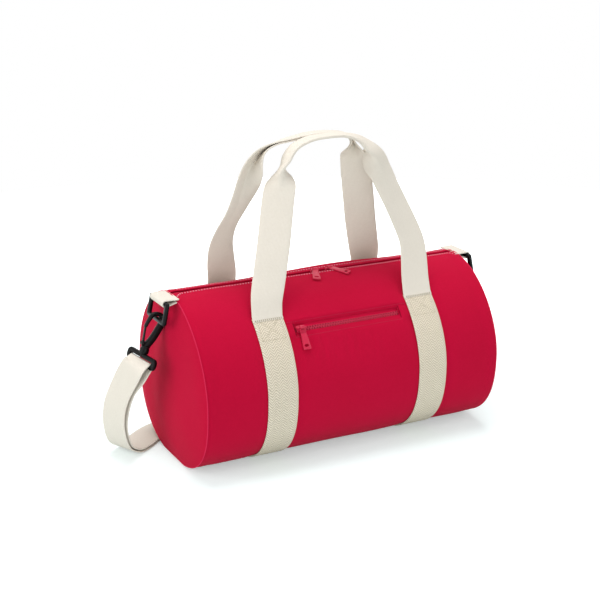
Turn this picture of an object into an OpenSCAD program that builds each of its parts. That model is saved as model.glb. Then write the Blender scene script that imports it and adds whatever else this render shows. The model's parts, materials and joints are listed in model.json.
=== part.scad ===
// Barrel bag: a canvas barrel with swollen end panels, a two-slider zip along the top, a zipped
// front pocket, two webbing bands that run on into carrying handles, and a clip-on shoulder strap.
// The origin is the middle of the barrel's underside, +X runs along the barrel, -Y is its front.

/* [Barrel] */
// Length of the barrel between its end seams
barrel_len = 386; // [340:1:440]
// Width of the barrel at its widest line
barrel_w = 207; // [190:1:230]
// Height of the barrel as it stands
barrel_h = 203.6; // [190:0.2:225]
// Height of the widest line above the floor
belly_h = 95.7; // [85:0.1:110]
// Thickness of the canvas wall with its backing
wall_t = 3; // [2.4:0.1:4]
// How far each end panel swells out
end_bulge = 12; // [6:0.5:18]
// How far the sagging base is pressed flat
base_press = 1; // [0.5:0.1:2]
// Roundness power of the lower half
base_power = 2.47; // [2:0.01:3]
// Roundness power of the upper half
crown_power = 1.82; // [1.6:0.01:2.2]
// Width of the seam binding inside each end
binding_w = 9; // [6:0.5:14]
// Thickness of the seam binding
binding_t = 1.4; // [0.8:0.1:2]

/* [Webbing] */
// Width of the webbing
web_w = 38; // [30:1:45]
// Thickness of the webbing
web_t = 1.8; // [1.2:0.1:2]
// Distance of each band's middle from the barrel's middle
band_x = 100.3; // [90:0.1:110]
// Angle from the top at which the bands end and the handles start
stitch_angle = 39; // [34:0.5:46]

/* [Handles] */
// Rise of the grip above the stitch line
handle_rise = 188; // [150:1:230]
// Width of the folded grip
grip_w = 18; // [14:0.5:22]
// Thickness of the folded grip
grip_t = 3.6; // [2.6:0.1:5]
// Space between the two grips
grip_gap = 2; // [1:0.5:6]

/* [Main zip] */
// Gap between the fabric edges beside a zip
zip_gap = 12; // [11:0.5:16]
// Distance between one tooth and the next
tooth_pitch = 3.4; // [3:0.1:5]
// Height of a tooth
tooth_h = 2.4; // [1.6:0.1:3]
// Distance from the zip's middle to the tape's edge
tooth_reach = 2.7; // [2.2:0.1:3.4]
// Distance from the zip's middle to the tape's outer edge
tape_reach = 13; // [10:0.5:16]
// Thickness of the zip tape
tape_t = 0.8; // [0.6:0.1:1.2]
// Middle of the pair of sliders along the barrel
slider_pair_x = 5; // [-60:1:60]
// Half the distance between the pair of sliders
slider_half_gap = 10; // [8:0.5:20]
// Length of a slider
slider_len = 12; // [9:0.5:16]
// Width of a slider
slider_w = 9; // [7.5:0.1:10]
// Thickness of a slider's plate
slider_plate_t = 1.2; // [0.8:0.1:1.8]
// Height of the bridge that holds a puller, above its slider
bridge_lift = 2; // [0:0.5:3]
// Length of a puller from its hinge
puller_len = 27; // [20:0.5:34]
// Width of a puller
puller_w = 10; // [7:0.5:12]
// Thickness of a puller
puller_t = 1.6; // [1.2:0.1:2.2]
// Turn of the left main puller towards the left end
left_puller_turn = 22; // [0:1:40]
// Turn of the right main puller towards the right end
right_puller_turn = 39; // [0:1:45]

/* [Pocket] */
// Length of the pocket zip's window
window_len = 137; // [110:1:150]
// Middle of the pocket zip along the barrel
pocket_x = -1; // [-20:0.5:20]
// Angle from the top to the pocket zip
pocket_angle = 49; // [44:0.5:56]
// Depth of the pocket pouch below its zip
pouch_depth = 92; // [60:1:120]
// Space inside the pouch from front to back
pouch_space = 13; // [10:0.5:20]
// Thickness of the pouch cloth
pouch_t = 1; // [0.6:0.1:1.4]
// Room between the window's end and the pouch's end
pouch_margin = 6; // [3:0.5:10]

/* [Tabs and rings] */
// Place of the left tab's middle across the barrel
tab_y = -6; // [-14:1:14]
// How much further back the right tab sits than the left one
right_shift = 12; // [0:1:20]
// How far a ring's upper bar stands out from the end seam
tab_out = 14.5; // [12:0.5:18]
// How far a ring's upper bar lies below the barrel's top
tab_down = 4.6; // [2:0.1:7]
// Thickness of a ring's bars
ring_bar = 4.8; // [4:0.1:6]
// Distance between a ring's upper and lower bars
ring_drop = 22; // [20:0.5:26]
// Outward tilt of a ring
ring_tilt = 12; // [5:1:18]

/* [Hooks] */
// Outward tilt of a hook
hook_tilt = 21; // [12:1:26]
// Thickness of a hook
hook_t = 6.5; // [5:0.5:8]
// Thickness of the hook's arm in its own plane
hook_arm = 4.6; // [3.6:0.1:5.4]
// Distance from the ring's bar to the foot of the hook
hook_len = 34; // [32:0.5:40]
// Radius of the swivel barrel
swivel_r = 4.8; // [4:0.1:6]
// Length of the swivel barrel
swivel_len = 9; // [7:0.5:12]
// Radius of the swivel post
post_r = 2.3; // [1.8:0.1:2.8]
// Turn of the swivel eye about the hook
eye_turn = 15; // [0:1:25]
// Thickness of the bars of the swivel eye
eye_bar = 4; // [3:0.1:5]
// Distance from the eye's yoke to the bar that holds the webbing
eye_drop = 8; // [7.5:0.5:12]
// Thickness of the gate
gate_t = 2.2; // [1.6:0.1:3]
// Width of the gate
gate_w = 3.6; // [3:0.1:4.2]

/* [Shoulder strap] */
// How far the strap bows out beyond the end seam
strap_bow = 66; // [60:1:90]
// How far under the barrel's back the middle of the strap's straight run lies
strap_under = 3.5; // [-20:0.5:8]
// Place of the adjuster along the straight run
adjuster_x = -40; // [-60:1:0]
// Thickness of the adjuster's bars
adjuster_bar = 2.6; // [2:0.1:3.4]
// Length of the adjuster along the strap
adjuster_len = 26; // [22:1:34]
// Length of the sewn loop on the adjuster
loop_len = 24; // [16:1:30]

/* [Hidden] */

// Colours
canvas = "crimson";
binding = "darkred";
natural = "antiquewhite";
tape = "firebrick";
plastic = "#1c1c1e";
lining = "indianred";

// Clearances and overrun
run_gap = 0.3;
pin_gap = 0.1;
cut_over = 1;
round_fn = 48;
barrel_steps = 48;
half_turn = 180;

half_len = barrel_len / 2;
half_w = barrel_w / 2;
crown_rise = barrel_h - belly_h;
base_drop = belly_h + base_press;

// Signed power, for the barrel's rounded section
function bent(v, p) = sign(v) * pow(abs(v), p);

// Point of the section at angle a from the bottom, d outside the canvas and never under low.
// The front is at 90 degrees and the top at 180.
function rim(a, d = 0, low = 0) =
    let(lower = cos(a) > 0,
        p = 2 / (lower ? base_power : crown_power),
        reach = (lower ? base_drop : crown_rise) + d)
    [-(half_w + d) * bent(sin(a), p), max(low, belly_h - reach * bent(cos(a), p))];

// Angle at which the upper half of the section is y from the middle plane
function crown_angle(y) = half_turn - asin(pow(y / half_w, crown_power / 2));

// Height of the section's upper half at y from the middle plane, d outside the canvas
function crown_at(y, d = 0) =
    belly_h + (crown_rise + d) * pow(1 - pow(abs(y) / (half_w + d), crown_power), 1 / crown_power);

// Outline of a strip that follows the section from angle a0 to a1 between two offsets
function strip(a0, a1, inner, outer, low_inner = 0, low_outer = 0, n = barrel_steps) =
    concat(
        [for (i = [0 : n]) rim(a0 + (a1 - a0) * i / n, outer, low_outer)],
        [for (i = [n : -1 : 0]) rim(a0 + (a1 - a0) * i / n, inner, low_inner)]);

// Turns an outline in the section's plane into a solid along the barrel
module along_barrel(x0, len)
    translate([x0, 0, 0])
        rotate([90, 0, 90])
            linear_extrude(len)
                children();

// Left end as drawn, right end as its mirror image
module at_end(side)
    mirror([side > 0 ? 1 : 0, 0, 0])
        children();

// The same for the tabs and what hangs on them, with the right ones further back
module hung_at(side)
    translate([0, side > 0 ? right_shift : 0, 0])
        at_end(side)
            children();

// Smooth curve through the rows of a table, at t rows from its first
function curve_at(rows, t) =
    let(last = len(rows) - 1,
        i = min(floor(t), last - 1),
        u = t - i,
        a = rows[max(i - 1, 0)],
        b = rows[i],
        c = rows[i + 1],
        d = rows[min(i + 2, last)])
    (2 * b + (c - a) * u + (2 * a - 5 * b + 4 * c - d) * u * u
        + (3 * b - a - 3 * c + d) * u * u * u) / 2;

function unit(v) = v / norm(v);

// What is left of v once its part along the unit vector t is taken away
function square_to(v, t) = unit(v - (v * t) * t);

// Flat band swept along stations of [place, width direction, width, thickness]. Its two end faces
// keep the width direction that they are given.
module sweep_band(stations) {
    last = len(stations) - 1;
    corners = [for (i = [0 : last])
        let(s = stations[i],
            ahead = stations[min(i + 1, last)][0],
            behind = stations[max(i - 1, 0)][0],
            t = unit(ahead - behind),
            w = i == 0 || i == last ? unit(s[1]) : square_to(s[1], t),
            n = unit(cross(w, t)))
        for (k = [[-1, -1], [1, -1], [1, 1], [-1, 1]])
            s[0] + w * k[0] * s[2] / 2 + n * k[1] * s[3] / 2];
    sides = [for (i = [0 : last - 1])
        for (k = [0 : 3])
            let(a = 4 * i + k,
                b = 4 * i + (k + 1) % 4,
                split = k % 2)
            each (split == 0 ? [[a, b, b + 4], [a, b + 4, a + 4]] : [[a, b, a + 4], [b, b + 4, a + 4]])];
    caps = [[3, 2, 1], [3, 1, 0], [4 * last, 4 * last + 1, 4 * last + 2],
        [4 * last, 4 * last + 2, 4 * last + 3]];
    polyhedron(corners, concat(sides, caps));
}

// Barrel

slot_angle = crown_angle(zip_gap / 2);
band_start = half_turn - stitch_angle;

module barrel_panel()
    color(canvas)
        difference() {
            along_barrel(-half_len, barrel_len)
                polygon(strip(-slot_angle, slot_angle, -wall_t, 0, wall_t, 0, 2 * barrel_steps));
            band_wrap(-1);
            band_wrap(1);
            pocket_place()
                window_cut();
        }

// Rings of an end panel: [share of the section, height]
end_shares = [1, 0.96, 0.88, 0.74, 0.54, 0.28];
dome_power = 0.8;
edge_power = 6;
panel_steps = 56;

function dome(s) = end_bulge * pow(1 - s * s, dome_power);

// Number of point i on ring r of the outer (0) or inner (1) face
function panel_corner(face, r, i) = (face * len(end_shares) + r) * panel_steps + i % panel_steps;

module end_panel(side)
    color(canvas)
        at_end(side) {
            rings = len(end_shares);
            shell = [for (face = [0, 1])
                for (s = end_shares)
                    for (i = [0 : panel_steps - 1])
                        let(q = rim(2 * half_turn * i / panel_steps, -wall_t * face, wall_t * face),
                            h = dome(s) - face * wall_t * (1 - pow(s, edge_power)))
                        [-half_len - h, q[0] * s, belly_h + (q[1] - belly_h) * s]];
            poles = [[-half_len - end_bulge, 0, belly_h], [-half_len - end_bulge + wall_t, 0, belly_h]];
            count = rings * panel_steps;
            outer_pole = 2 * count;
            walls = [for (face = [0, 1])
                for (r = [0 : rings - 2])
                    for (i = [0 : panel_steps - 1])
                        let(a = panel_corner(face, r, i),
                            b = panel_corner(face, r, i + 1),
                            c = panel_corner(face, r + 1, i + 1),
                            d = panel_corner(face, r + 1, i))
                        each (face == 0 ? [[a, b, c], [a, c, d]] : [[c, b, a], [d, c, a]])];
            middles = [for (face = [0, 1])
                for (i = [0 : panel_steps - 1])
                    let(a = panel_corner(face, rings - 1, i),
                        b = panel_corner(face, rings - 1, i + 1),
                        pole = outer_pole + face)
                    face == 0 ? [a, b, pole] : [b, a, pole]];
            rim_face = [for (i = [0 : panel_steps - 1])
                let(a = panel_corner(0, 0, i),
                    b = panel_corner(0, 0, i + 1),
                    c = panel_corner(1, 0, i + 1),
                    d = panel_corner(1, 0, i))
                each [[c, b, a], [d, c, a]]];
            polyhedron(concat(shell, poles), concat(walls, middles, rim_face));
        }

module seam_binding(side)
    color(binding)
        at_end(side)
            along_barrel(-half_len, binding_w)
                polygon(strip(-binding_angle, binding_angle, -binding_out - binding_t, -binding_out,
                    binding_out + binding_t, binding_out, 2 * barrel_steps));

// The strips lie just inside the canvas and stop beside the main zip's tapes
binding_out = wall_t + run_gap;
binding_angle = crown_angle((tape_reach + run_gap) * half_w / (half_w - binding_out - binding_t));

// Webbing bands under the bag

module band_wrap(side)
    along_barrel(side * band_x - web_w / 2, web_w)
        polygon(strip(-band_start, band_start, 0, web_t, web_t, 0, 2 * barrel_steps));

module band(side)
    color(natural)
        band_wrap(side);

// Handles

hinge_off = web_t + run_gap + web_t / 2;
hinge = rim(band_start, hinge_off);
grip_y = -(grip_gap + grip_w) / 2;

// Routes of the handles, each from its twisted foot to its bowed foot. Each row holds shares of the
// bands' distance, of the lean to the grip and of the rise, then of the turn and of the fold.
twisted_shares = [
    [-1, 0, 0, 0, 0],
    [-0.96, 0.17, 0.095, 0.04, 0],
    [-0.877, 0.36, 0.2, 0.16, 0],
    [-0.755, 0.6, 0.385, 0.28, 0],
    [-0.67, 0.78, 0.54, 0.34, 0],
    [-0.605, 0.9, 0.67, 0.42, 0],
    [-0.555, 0.96, 0.765, 0.58, 0.15],
    [-0.505, 1, 0.85, 0.9, 0.9],
    [-0.39, 1, 0.945, 1, 1],
    [-0.2, 1, 0.992, 1, 1],
    [0.03, 1, 1.005, 0.97, 1]
];
front_shares = concat(twisted_shares, [
    [0.27, 1, 1, 0.82, 1],
    [0.45, 1, 0.972, 0.6, 1],
    [0.575, 1, 0.925, 0.42, 0.95],
    [0.67, 0.98, 0.855, 0.33, 0.55],
    [0.765, 0.93, 0.757, 0.28, 0.12],
    [0.845, 0.87, 0.655, 0.24, 0],
    [0.94, 0.76, 0.53, 0.18, 0],
    [1.035, 0.6, 0.39, 0.13, 0],
    [1.072, 0.48, 0.303, 0.1, 0],
    [1.062, 0.35, 0.218, 0.07, 0],
    [1.02, 0.15, 0.09, 0.03, 0],
    [1, 0, 0, 0, 0]
]);
back_shares = concat(twisted_shares, [
    [0.27, 1, 0.99, 0.85, 1],
    [0.5, 1, 0.967, 0.7, 1],
    [0.67, 1, 0.928, 0.55, 0.95],
    [0.775, 0.98, 0.864, 0.46, 0.55],
    [0.85, 0.93, 0.768, 0.4, 0.12],
    [0.915, 0.87, 0.665, 0.33, 0],
    [0.99, 0.76, 0.548, 0.28, 0],
    [1.07, 0.6, 0.43, 0.22, 0],
    [1.105, 0.48, 0.32, 0.17, 0],
    [1.08, 0.35, 0.218, 0.11, 0],
    [1.02, 0.15, 0.09, 0.04, 0],
    [1, 0, 0, 0, 0]
]);
handle_steps = 3;
quarter_turn = 90;

function handle_station(shares, t) =
    let(s = curve_at(shares, t),
        turn = quarter_turn * s[3],
        fold = min(1, max(0, s[4])),
        way = t < (len(shares) - 1) / 2 ? 1 : -1)
    [[band_x * s[0], hinge[0] + (grip_y - hinge[0]) * s[1], hinge[1] + handle_rise * s[2]],
        [way * cos(turn), -sin(turn), 0],
        web_w + (grip_w - web_w) * fold,
        web_t + (grip_t - web_t) * fold];

module handle(shares)
    sweep_band([for (i = [0 : handle_steps * (len(shares) - 1)])
        handle_station(shares, i / handle_steps)]);

module front_handle()
    color(natural)
        handle(front_shares);

module back_handle()
    color(natural)
        rotate([0, 0, half_turn])
            handle(back_shares);

// Zips, drawn with their middle at the origin, their length along X and the outside up

slit = 1;
web_wall = 0.4;
tooth_root = 1.2;
tooth_share = 0.55;
seam_in = 3;
stop_len = 2.4;
post_t = 1.2;
bridge_r = 0.9;
hub_wall = 1.1;
hub_r = bridge_r + run_gap + hub_wall;
plate_gap = run_gap;
lip_drop = 0.7;
lip_w = 0.9;

main_tape_top = -(barrel_h - crown_at(tape_reach, -wall_t)) - run_gap;
pocket_tape_top = -(wall_t + tape_reach * tape_reach / barrel_w + run_gap);
slider_top = tooth_h / 2 + plate_gap + slider_plate_t;
bridge_rise = slider_top + run_gap + hub_r + bridge_lift;

module zip_tape(len, side, reach)
    translate([-len / 2, side > 0 ? tooth_reach : -reach, -tape_t / 2])
        cube([len, reach - tooth_reach, tape_t]);

// One row of teeth as a comb beside the zip's slit
module zip_teeth(len, side) {
    count = floor(len / tooth_pitch);
    start = -count * tooth_pitch / 2;
    tooth = tooth_pitch * tooth_share;
    comb = concat(
        [[start, tooth_reach]],
        [for (i = [0 : count - 1])
            let(x = start + i * tooth_pitch)
            each [[x, slit / 2], [x + tooth, slit / 2], [x + tooth, tooth_reach - tooth_root],
                [x + tooth_pitch, tooth_reach - tooth_root]]],
        [[start + count * tooth_pitch, tooth_reach]]);
    translate([0, 0, -tooth_h / 2])
        linear_extrude(tooth_h)
            mirror([0, side > 0 ? 0 : 1])
                polygon(comb);
}

module zip_stop_pair(len)
    for (x = [-1, 1])
        translate([x * (len / 2 + stop_len / 2 + run_gap), 0, 0])
            cube([stop_len, 2 * tooth_reach, tooth_h], center = true);

// Slider: two plates joined by a thin wall in the slit, side lips and a bridge for the puller
module zip_slider() {
    plate_z = tooth_h / 2 + plate_gap;
    for (s = [-1, 1]) {
        translate([0, 0, s * (plate_z + slider_plate_t / 2)])
            intersection() {
                cube([slider_len, slider_w, slider_plate_t], center = true);
                cylinder(h = slider_plate_t, r = slider_len / 2 + lip_w / 2, center = true, $fn = round_fn);
            }
        for (y = [-1, 1])
            translate([0, y * (slider_w - lip_w) / 2, s * (plate_z - lip_drop / 2)])
                cube([slider_len / 2, lip_w, lip_drop], center = true);
    }
    cube([slider_len / 2, web_wall, 2 * plate_z + slider_plate_t], center = true);
    for (x = [-1, 1])
        translate([x * (slider_len / 2 - post_t), 0, slider_top - slider_plate_t / 2])
            cylinder(h = bridge_rise - slider_top + slider_plate_t / 2 + bridge_r, r = post_t,
                $fn = round_fn);
    translate([-slider_len / 2 + post_t, 0, bridge_rise])
        rotate([0, 90, 0])
            cylinder(h = slider_len - 2 * post_t, r = bridge_r, $fn = round_fn);
}

hub_len = slider_len - 4 * post_t - 2 * run_gap;

// Puller: a hub on the bridge and a plate with an oval hole, lying towards -Y at the given dip
module zip_puller(dip, turn) {
    hole_r = puller_w / 5;
    neck_w = hub_len - run_gap;
    translate([0, 0, bridge_rise]) {
        difference() {
            translate([-hub_len / 2, 0, 0])
                rotate([0, 90, 0])
                    cylinder(h = hub_len, r = hub_r, $fn = round_fn);
            puller_bore();
        }
        difference() {
            rotate([dip, 0, 0])
                translate([0, 0, -puller_t / 2])
                    linear_extrude(puller_t)
                        difference() {
                            puller_outline(neck_w, turn);
                            translate(puller_end(turn, puller_len - puller_w / 2))
                                rotate(turn)
                                    oval_hole(hole_r);
                        }
            puller_bore();
        }
    }
}

function puller_end(turn, r) = [sin(turn) * r, -cos(turn) * r];

module puller_bore()
    translate([-hub_len, 0, 0])
        rotate([0, 90, 0])
            cylinder(h = 2 * hub_len, r = bridge_r + run_gap, $fn = round_fn);

oval_points = 24;

// Oval hole: two half circles of radius r that stand r apart
module oval_hole(r)
    polygon([for (i = [0 : oval_points - 1])
        let(a = 2 * half_turn * (i + 0.5) / oval_points)
        [sign(cos(a)) * r / 2 + r * cos(a), r * sin(a)]]);

// Plate outline: a narrow neck at the hub, sides that widen and a round end
module puller_outline(neck_w, turn) {
    neck_len = hub_r + run_gap;
    far = puller_len - puller_w / 2;
    shoulder = hub_r + puller_w / 2;
    side = [cos(turn), sin(turn)];
    polygon([[-neck_w / 2, -neck_len], [-neck_w / 2, 0], [neck_w / 2, 0],
        [neck_w / 2, -neck_len], puller_end(turn, shoulder) + side * puller_w * 0.4,
        puller_end(turn, far) + side * puller_w * 0.48,
        puller_end(turn, far) - side * puller_w * 0.48,
        puller_end(turn, shoulder) - side * puller_w * 0.4]);
    translate(puller_end(turn, far))
        circle(r = puller_w / 2, $fn = round_fn);
}

// Main zip on the crown

main_zip_len = barrel_len - 2 * seam_in;
main_teeth_len = main_zip_len - 2 * (stop_len + binding_w);

module main_place(x = 0)
    translate([x, 0, barrel_h + main_tape_top - tape_t / 2])
        children();

function dip_to(level, reach) = atan(level / reach);
main_bridge_z = main_tape_top - tape_t / 2 + bridge_rise;

// Dip at which a puller's plate, turned aside by turn, clears the crown all along its reach
dip_marks = 16;
function crown_dip(turn) =
    let(reach = (puller_len - puller_w / 2) * cos(turn) + puller_w / 2)
    min([for (i = [1 : dip_marks])
        let(y = reach * i / dip_marks)
        dip_to(main_bridge_z - (crown_at(y) - barrel_h) - puller_t / 2 - 2 * run_gap, y)]);

module main_zip_tape(side)
    color(tape)
        main_place()
            zip_tape(main_zip_len, side, tape_reach);

module main_zip_teeth(side)
    color(canvas)
        main_place()
            zip_teeth(main_teeth_len, side);

module main_zip_stops()
    color(canvas)
        main_place()
            zip_stop_pair(main_teeth_len);

module main_slider(side)
    color(canvas)
        main_place(slider_pair_x + side * slider_half_gap)
            zip_slider();

module main_puller(side)
    color(canvas)
        main_place(slider_pair_x + side * slider_half_gap)
            zip_puller(crown_dip(side < 0 ? left_puller_turn : right_puller_turn),
                side < 0 ? -left_puller_turn : right_puller_turn);

// Front pocket

pocket_at = rim(half_turn - pocket_angle);
pocket_step = 1;
pocket_ahead = rim(half_turn - pocket_angle + pocket_step);
pocket_behind = rim(half_turn - pocket_angle - pocket_step);
pocket_slope = atan2(pocket_ahead[1] - pocket_behind[1], pocket_ahead[0] - pocket_behind[0]);
pocket_zip_len = window_len + 2 * pouch_margin;
pocket_teeth_len = pocket_zip_len - 2 * (pouch_t + stop_len + 2 * run_gap);
pocket_slider_x = -window_len / 2 + slider_len / 2 + run_gap;

module pocket_place()
    translate([pocket_x, pocket_at[0], pocket_at[1]])
        rotate([pocket_slope, 0, 0])
            children();

module pocket_zip_place(x = 0)
    pocket_place()
        translate([x, 0, pocket_tape_top - tape_t / 2])
            children();

module window_cut()
    translate([0, 0, -wall_t / 2])
        cube([window_len, zip_gap, 2 * wall_t], center = true);

module pocket_zip_tapes()
    color(tape)
        pocket_zip_place()
            for (side = [-1, 1])
                zip_tape(pocket_zip_len, side, tape_reach);

module pocket_zip_teeth()
    color(canvas)
        pocket_zip_place()
            for (side = [-1, 1])
                zip_teeth(pocket_teeth_len, side);

module pocket_zip_stops()
    color(canvas)
        pocket_zip_place()
            zip_stop_pair(pocket_teeth_len);

module pocket_slider()
    color(canvas)
        pocket_zip_place(pocket_slider_x)
            zip_slider();

pocket_level = pocket_tape_top - tape_t / 2 + bridge_rise - puller_t / 2 - run_gap;
pocket_dip = dip_to(pocket_level, tape_reach);

module pocket_puller()
    color(canvas)
        pocket_zip_place(pocket_slider_x)
            zip_puller(pocket_dip, 0);

// Corner under the tapes, in the section's plane: along is down the slope and level is outwards
function pocket_corner(along, level) =
    [pocket_at[0] - along * cos(pocket_slope) - level * sin(pocket_slope),
        pocket_at[1] - along * sin(pocket_slope) + level * cos(pocket_slope)];

pouch_level = pocket_tape_top - tape_t - run_gap;
pouch_front = pocket_corner(tape_reach, pouch_level);
pouch_len = pocket_zip_len;

// Height under the tapes at y, so the pouch's mouth follows their slope
function mouth_z(y) = pouch_front[1] + (y - pouch_front[0]) * tan(pocket_slope);

// Room that the slider's lower half needs behind the pouch's front, on the slope of the tapes
slider_room = (tape_reach + slider_w / 2) * cos(pocket_slope)
    + (slider_top - tape_t / 2 - run_gap) * sin(pocket_slope) + run_gap - pouch_t;

module pocket_pouch() {
    y0 = pouch_front[0];
    y1 = y0 + max(pouch_space, slider_room) + 2 * pouch_t;
    z0 = pouch_front[1] - pouch_depth;
    color(lining)
        difference() {
            along_barrel(pocket_x - pouch_len / 2, pouch_len)
                polygon([[y0, z0], [y1, z0], [y1, mouth_z(y1)], [y0, mouth_z(y0)]]);
            along_barrel(pocket_x - pouch_len / 2 + pouch_t, pouch_len - 2 * pouch_t)
                polygon([[y0 + pouch_t, z0 + pouch_t], [y1 - pouch_t, z0 + pouch_t],
                    [y1 - pouch_t, mouth_z(y1) + cut_over], [y0 + pouch_t, mouth_z(y0) + cut_over]]);
        }
}

// Tabs and rings, drawn at the left end

ring_r = ring_bar / 2;
side_lip = 0.4;
ring_half = web_w / 2 + 2 * run_gap + ring_r;
tab_at = [-half_len - tab_out, tab_y, barrel_h - tab_down];
tab_in_r = ring_r + run_gap;
tab_out_r = tab_in_r + web_t;
tab_root_top = barrel_h - run_gap;

// Point where a line from p touches the circle round c, on the side given by s
function touch(p, c, r, s) =
    let(d = c - p,
        away = norm(d),
        swing = s * asin(r / away),
        way = atan2(d[1], d[0]) + swing,
        reach = sqrt(away * away - r * r))
    p + reach * [cos(way), sin(way)];

// Loop of webbing: its two layers meet in a stub that is sewn into the end seam
module tab(side) {
    c = [tab_at[0], tab_at[2]];
    top = [-half_len - run_gap, tab_root_top];
    low_z = tab_root_top - 2 * web_t;
    low = [-half_len - dome((low_z - belly_h) / crown_rise) - run_gap, low_z];
    color(natural)
        hung_at(side)
            translate([0, tab_y + web_w / 2, 0])
                rotate([90, 0, 0])
                    linear_extrude(web_w)
                        difference() {
                            union() {
                                polygon([top, touch(top, c, tab_out_r, -1), c,
                                    touch(low, c, tab_out_r, 1), low]);
                                translate(c)
                                    circle(r = tab_out_r, $fn = round_fn);
                            }
                            translate(c)
                                circle(r = tab_in_r, $fn = round_fn);
                        }
}

function out_down(from, tilt, d) = from + d * [-sin(tilt), 0, -cos(tilt)];

ring_low = out_down(tab_at, ring_tilt, ring_drop);

// Round bars above and below, between two square side bars
module ring_bars() {
    for (y = [-1, 1])
        translate([tab_at[0], tab_y + y * ring_half, tab_at[2]])
            rotate([0, ring_tilt, 0])
                translate([0, 0, -ring_drop / 2])
                    cube([ring_bar + side_lip, ring_bar, ring_drop + ring_bar + side_lip], center = true);
    for (p = [tab_at, ring_low])
        translate([p[0], tab_y - ring_half, p[2]])
            rotate([-90, 0, 0])
                cylinder(h = 2 * ring_half, r = ring_r, $fn = round_fn);
}

module ring(side)
    color(plastic)
        hung_at(side)
            ring_bars();

// Hooks, drawn in their own plane: x outwards, y up, with the ring's lower bar at the origin

hook_gap = 0.6;
claw_r = ring_r + hook_gap + hook_arm / 2;
hook_side = 8;
foot_x = 2;
tip_share = 0.34;
pivot_r = 1.15;
pivot_boss = pivot_r + 1.3;
pivot_x = foot_x + swivel_r;
tip_at = [hook_side + 2, -hook_len * tip_share];

// Middle line of the hook's arm from its foot, up the shank, over the ring's bar to the tip
hook_route = [
    [foot_x, -hook_len],
    [-hook_side * 0.35, -hook_len * 0.74],
    [-hook_side * 0.85, -hook_len * 0.4],
    [-hook_side, -hook_len * 0.1],
    [-hook_side * 0.62, claw_r * 0.72],
    [0, claw_r * 1.02],
    [hook_side * 0.68, claw_r * 0.6],
    [hook_side, -claw_r * 0.5],
    tip_at
];
hook_steps = 5;

function hook_point(t, s) =
    let(step = 0.02,
        last = len(hook_route) - 1,
        d = unit(curve_at(hook_route, min(t + step, last)) - curve_at(hook_route, max(t - step, 0))))
    curve_at(hook_route, t) + s * hook_arm / 2 * [-d[1], d[0]];

module hook_outline() {
    n = hook_steps * (len(hook_route) - 1);
    polygon(concat([for (i = [0 : n]) hook_point(i / hook_steps, 1)],
        [for (i = [n : -1 : 0]) hook_point(i / hook_steps, -1)]));
}

module hook_place()
    translate([ring_low[0], tab_y, ring_low[2]])
        rotate([0, hook_tilt, 0])
            rotate([90, 0, half_turn])
                children();

gate_pivot = [pivot_x, -hook_len + pivot_boss + run_gap];
foot_half = swivel_r - run_gap;
post_room = 1;

module hook(side)
    color(plastic)
        hung_at(side)
            hook_place() {
                difference() {
                    union() {
                        translate([0, 0, -hook_t / 2])
                            linear_extrude(hook_t) {
                                hook_outline();
                                translate([foot_x - foot_half, -hook_len - swivel_len / 2])
                                    square([2 * foot_half, swivel_len / 2 + pivot_boss]);
                                translate(gate_pivot)
                                    circle(r = pivot_boss, $fn = round_fn);
                            }
                        translate([foot_x, -hook_len - swivel_len, 0])
                            rotate([-90, 0, 0])
                                cylinder(h = swivel_len, r = swivel_r, $fn = round_fn);
                    }
                    translate([foot_x, -hook_len - swivel_len - cut_over, 0])
                        rotate([-90, 0, 0])
                            cylinder(h = swivel_len - post_room + cut_over, r = post_r + pin_gap,
                                $fn = round_fn);
                    gate_slot();
                }
                translate([gate_pivot[0], gate_pivot[1], run_gap - hook_t / 2])
                    cylinder(h = hook_t - 2 * run_gap, r = pivot_r, $fn = round_fn);
            }

gate_root_r = pivot_r + pin_gap + 1;
gate_len = norm([tip_at[0], tip_at[1] - hook_arm / 2] - gate_pivot);
gate_turn = atan2(tip_at[1] - gate_pivot[1], tip_at[0] - gate_pivot[0]);
gate_reach = norm(tip_at - gate_pivot) - run_gap - gate_t / 3;

// Slot in the hook's foot in which the gate's root turns
module gate_slot()
    translate([gate_pivot[0], gate_pivot[1], -gate_w / 2 - run_gap]) {
        cylinder(h = gate_w + 2 * run_gap, r = gate_root_r + run_gap, $fn = round_fn);
        for (swing = [0, gate_swing])
            rotate(gate_turn + swing)
                translate([0, -gate_t / 2 - run_gap, 0])
                    cube([gate_root_r + pivot_boss, gate_t + 2 * run_gap, gate_w + 2 * run_gap]);
    }

gate_swing = 18;

module gate(side)
    color(plastic)
        hung_at(side)
            hook_place()
                translate([gate_pivot[0], gate_pivot[1], -gate_w / 2])
                    rotate(gate_turn)
                        difference() {
                            union() {
                                cylinder(h = gate_w, r = gate_root_r, $fn = round_fn);
                                translate([0, -gate_t / 2, 0])
                                    cube([gate_reach, gate_t, gate_w]);
                            }
                            translate([0, 0, -cut_over])
                                cylinder(h = gate_w + 2 * cut_over, r = pivot_r + pin_gap, $fn = round_fn);
                        }

eye_room = 2;

// Swivel eyes: a post in the hook's foot, a yoke and a bar that holds the webbing

eye_r = eye_bar / 2;
eye_half = web_w / 2 + eye_room + eye_r;
yoke_y = -hook_len - swivel_len - run_gap - eye_r;
post_len = swivel_len - post_room - run_gap + run_gap + eye_r;

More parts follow.
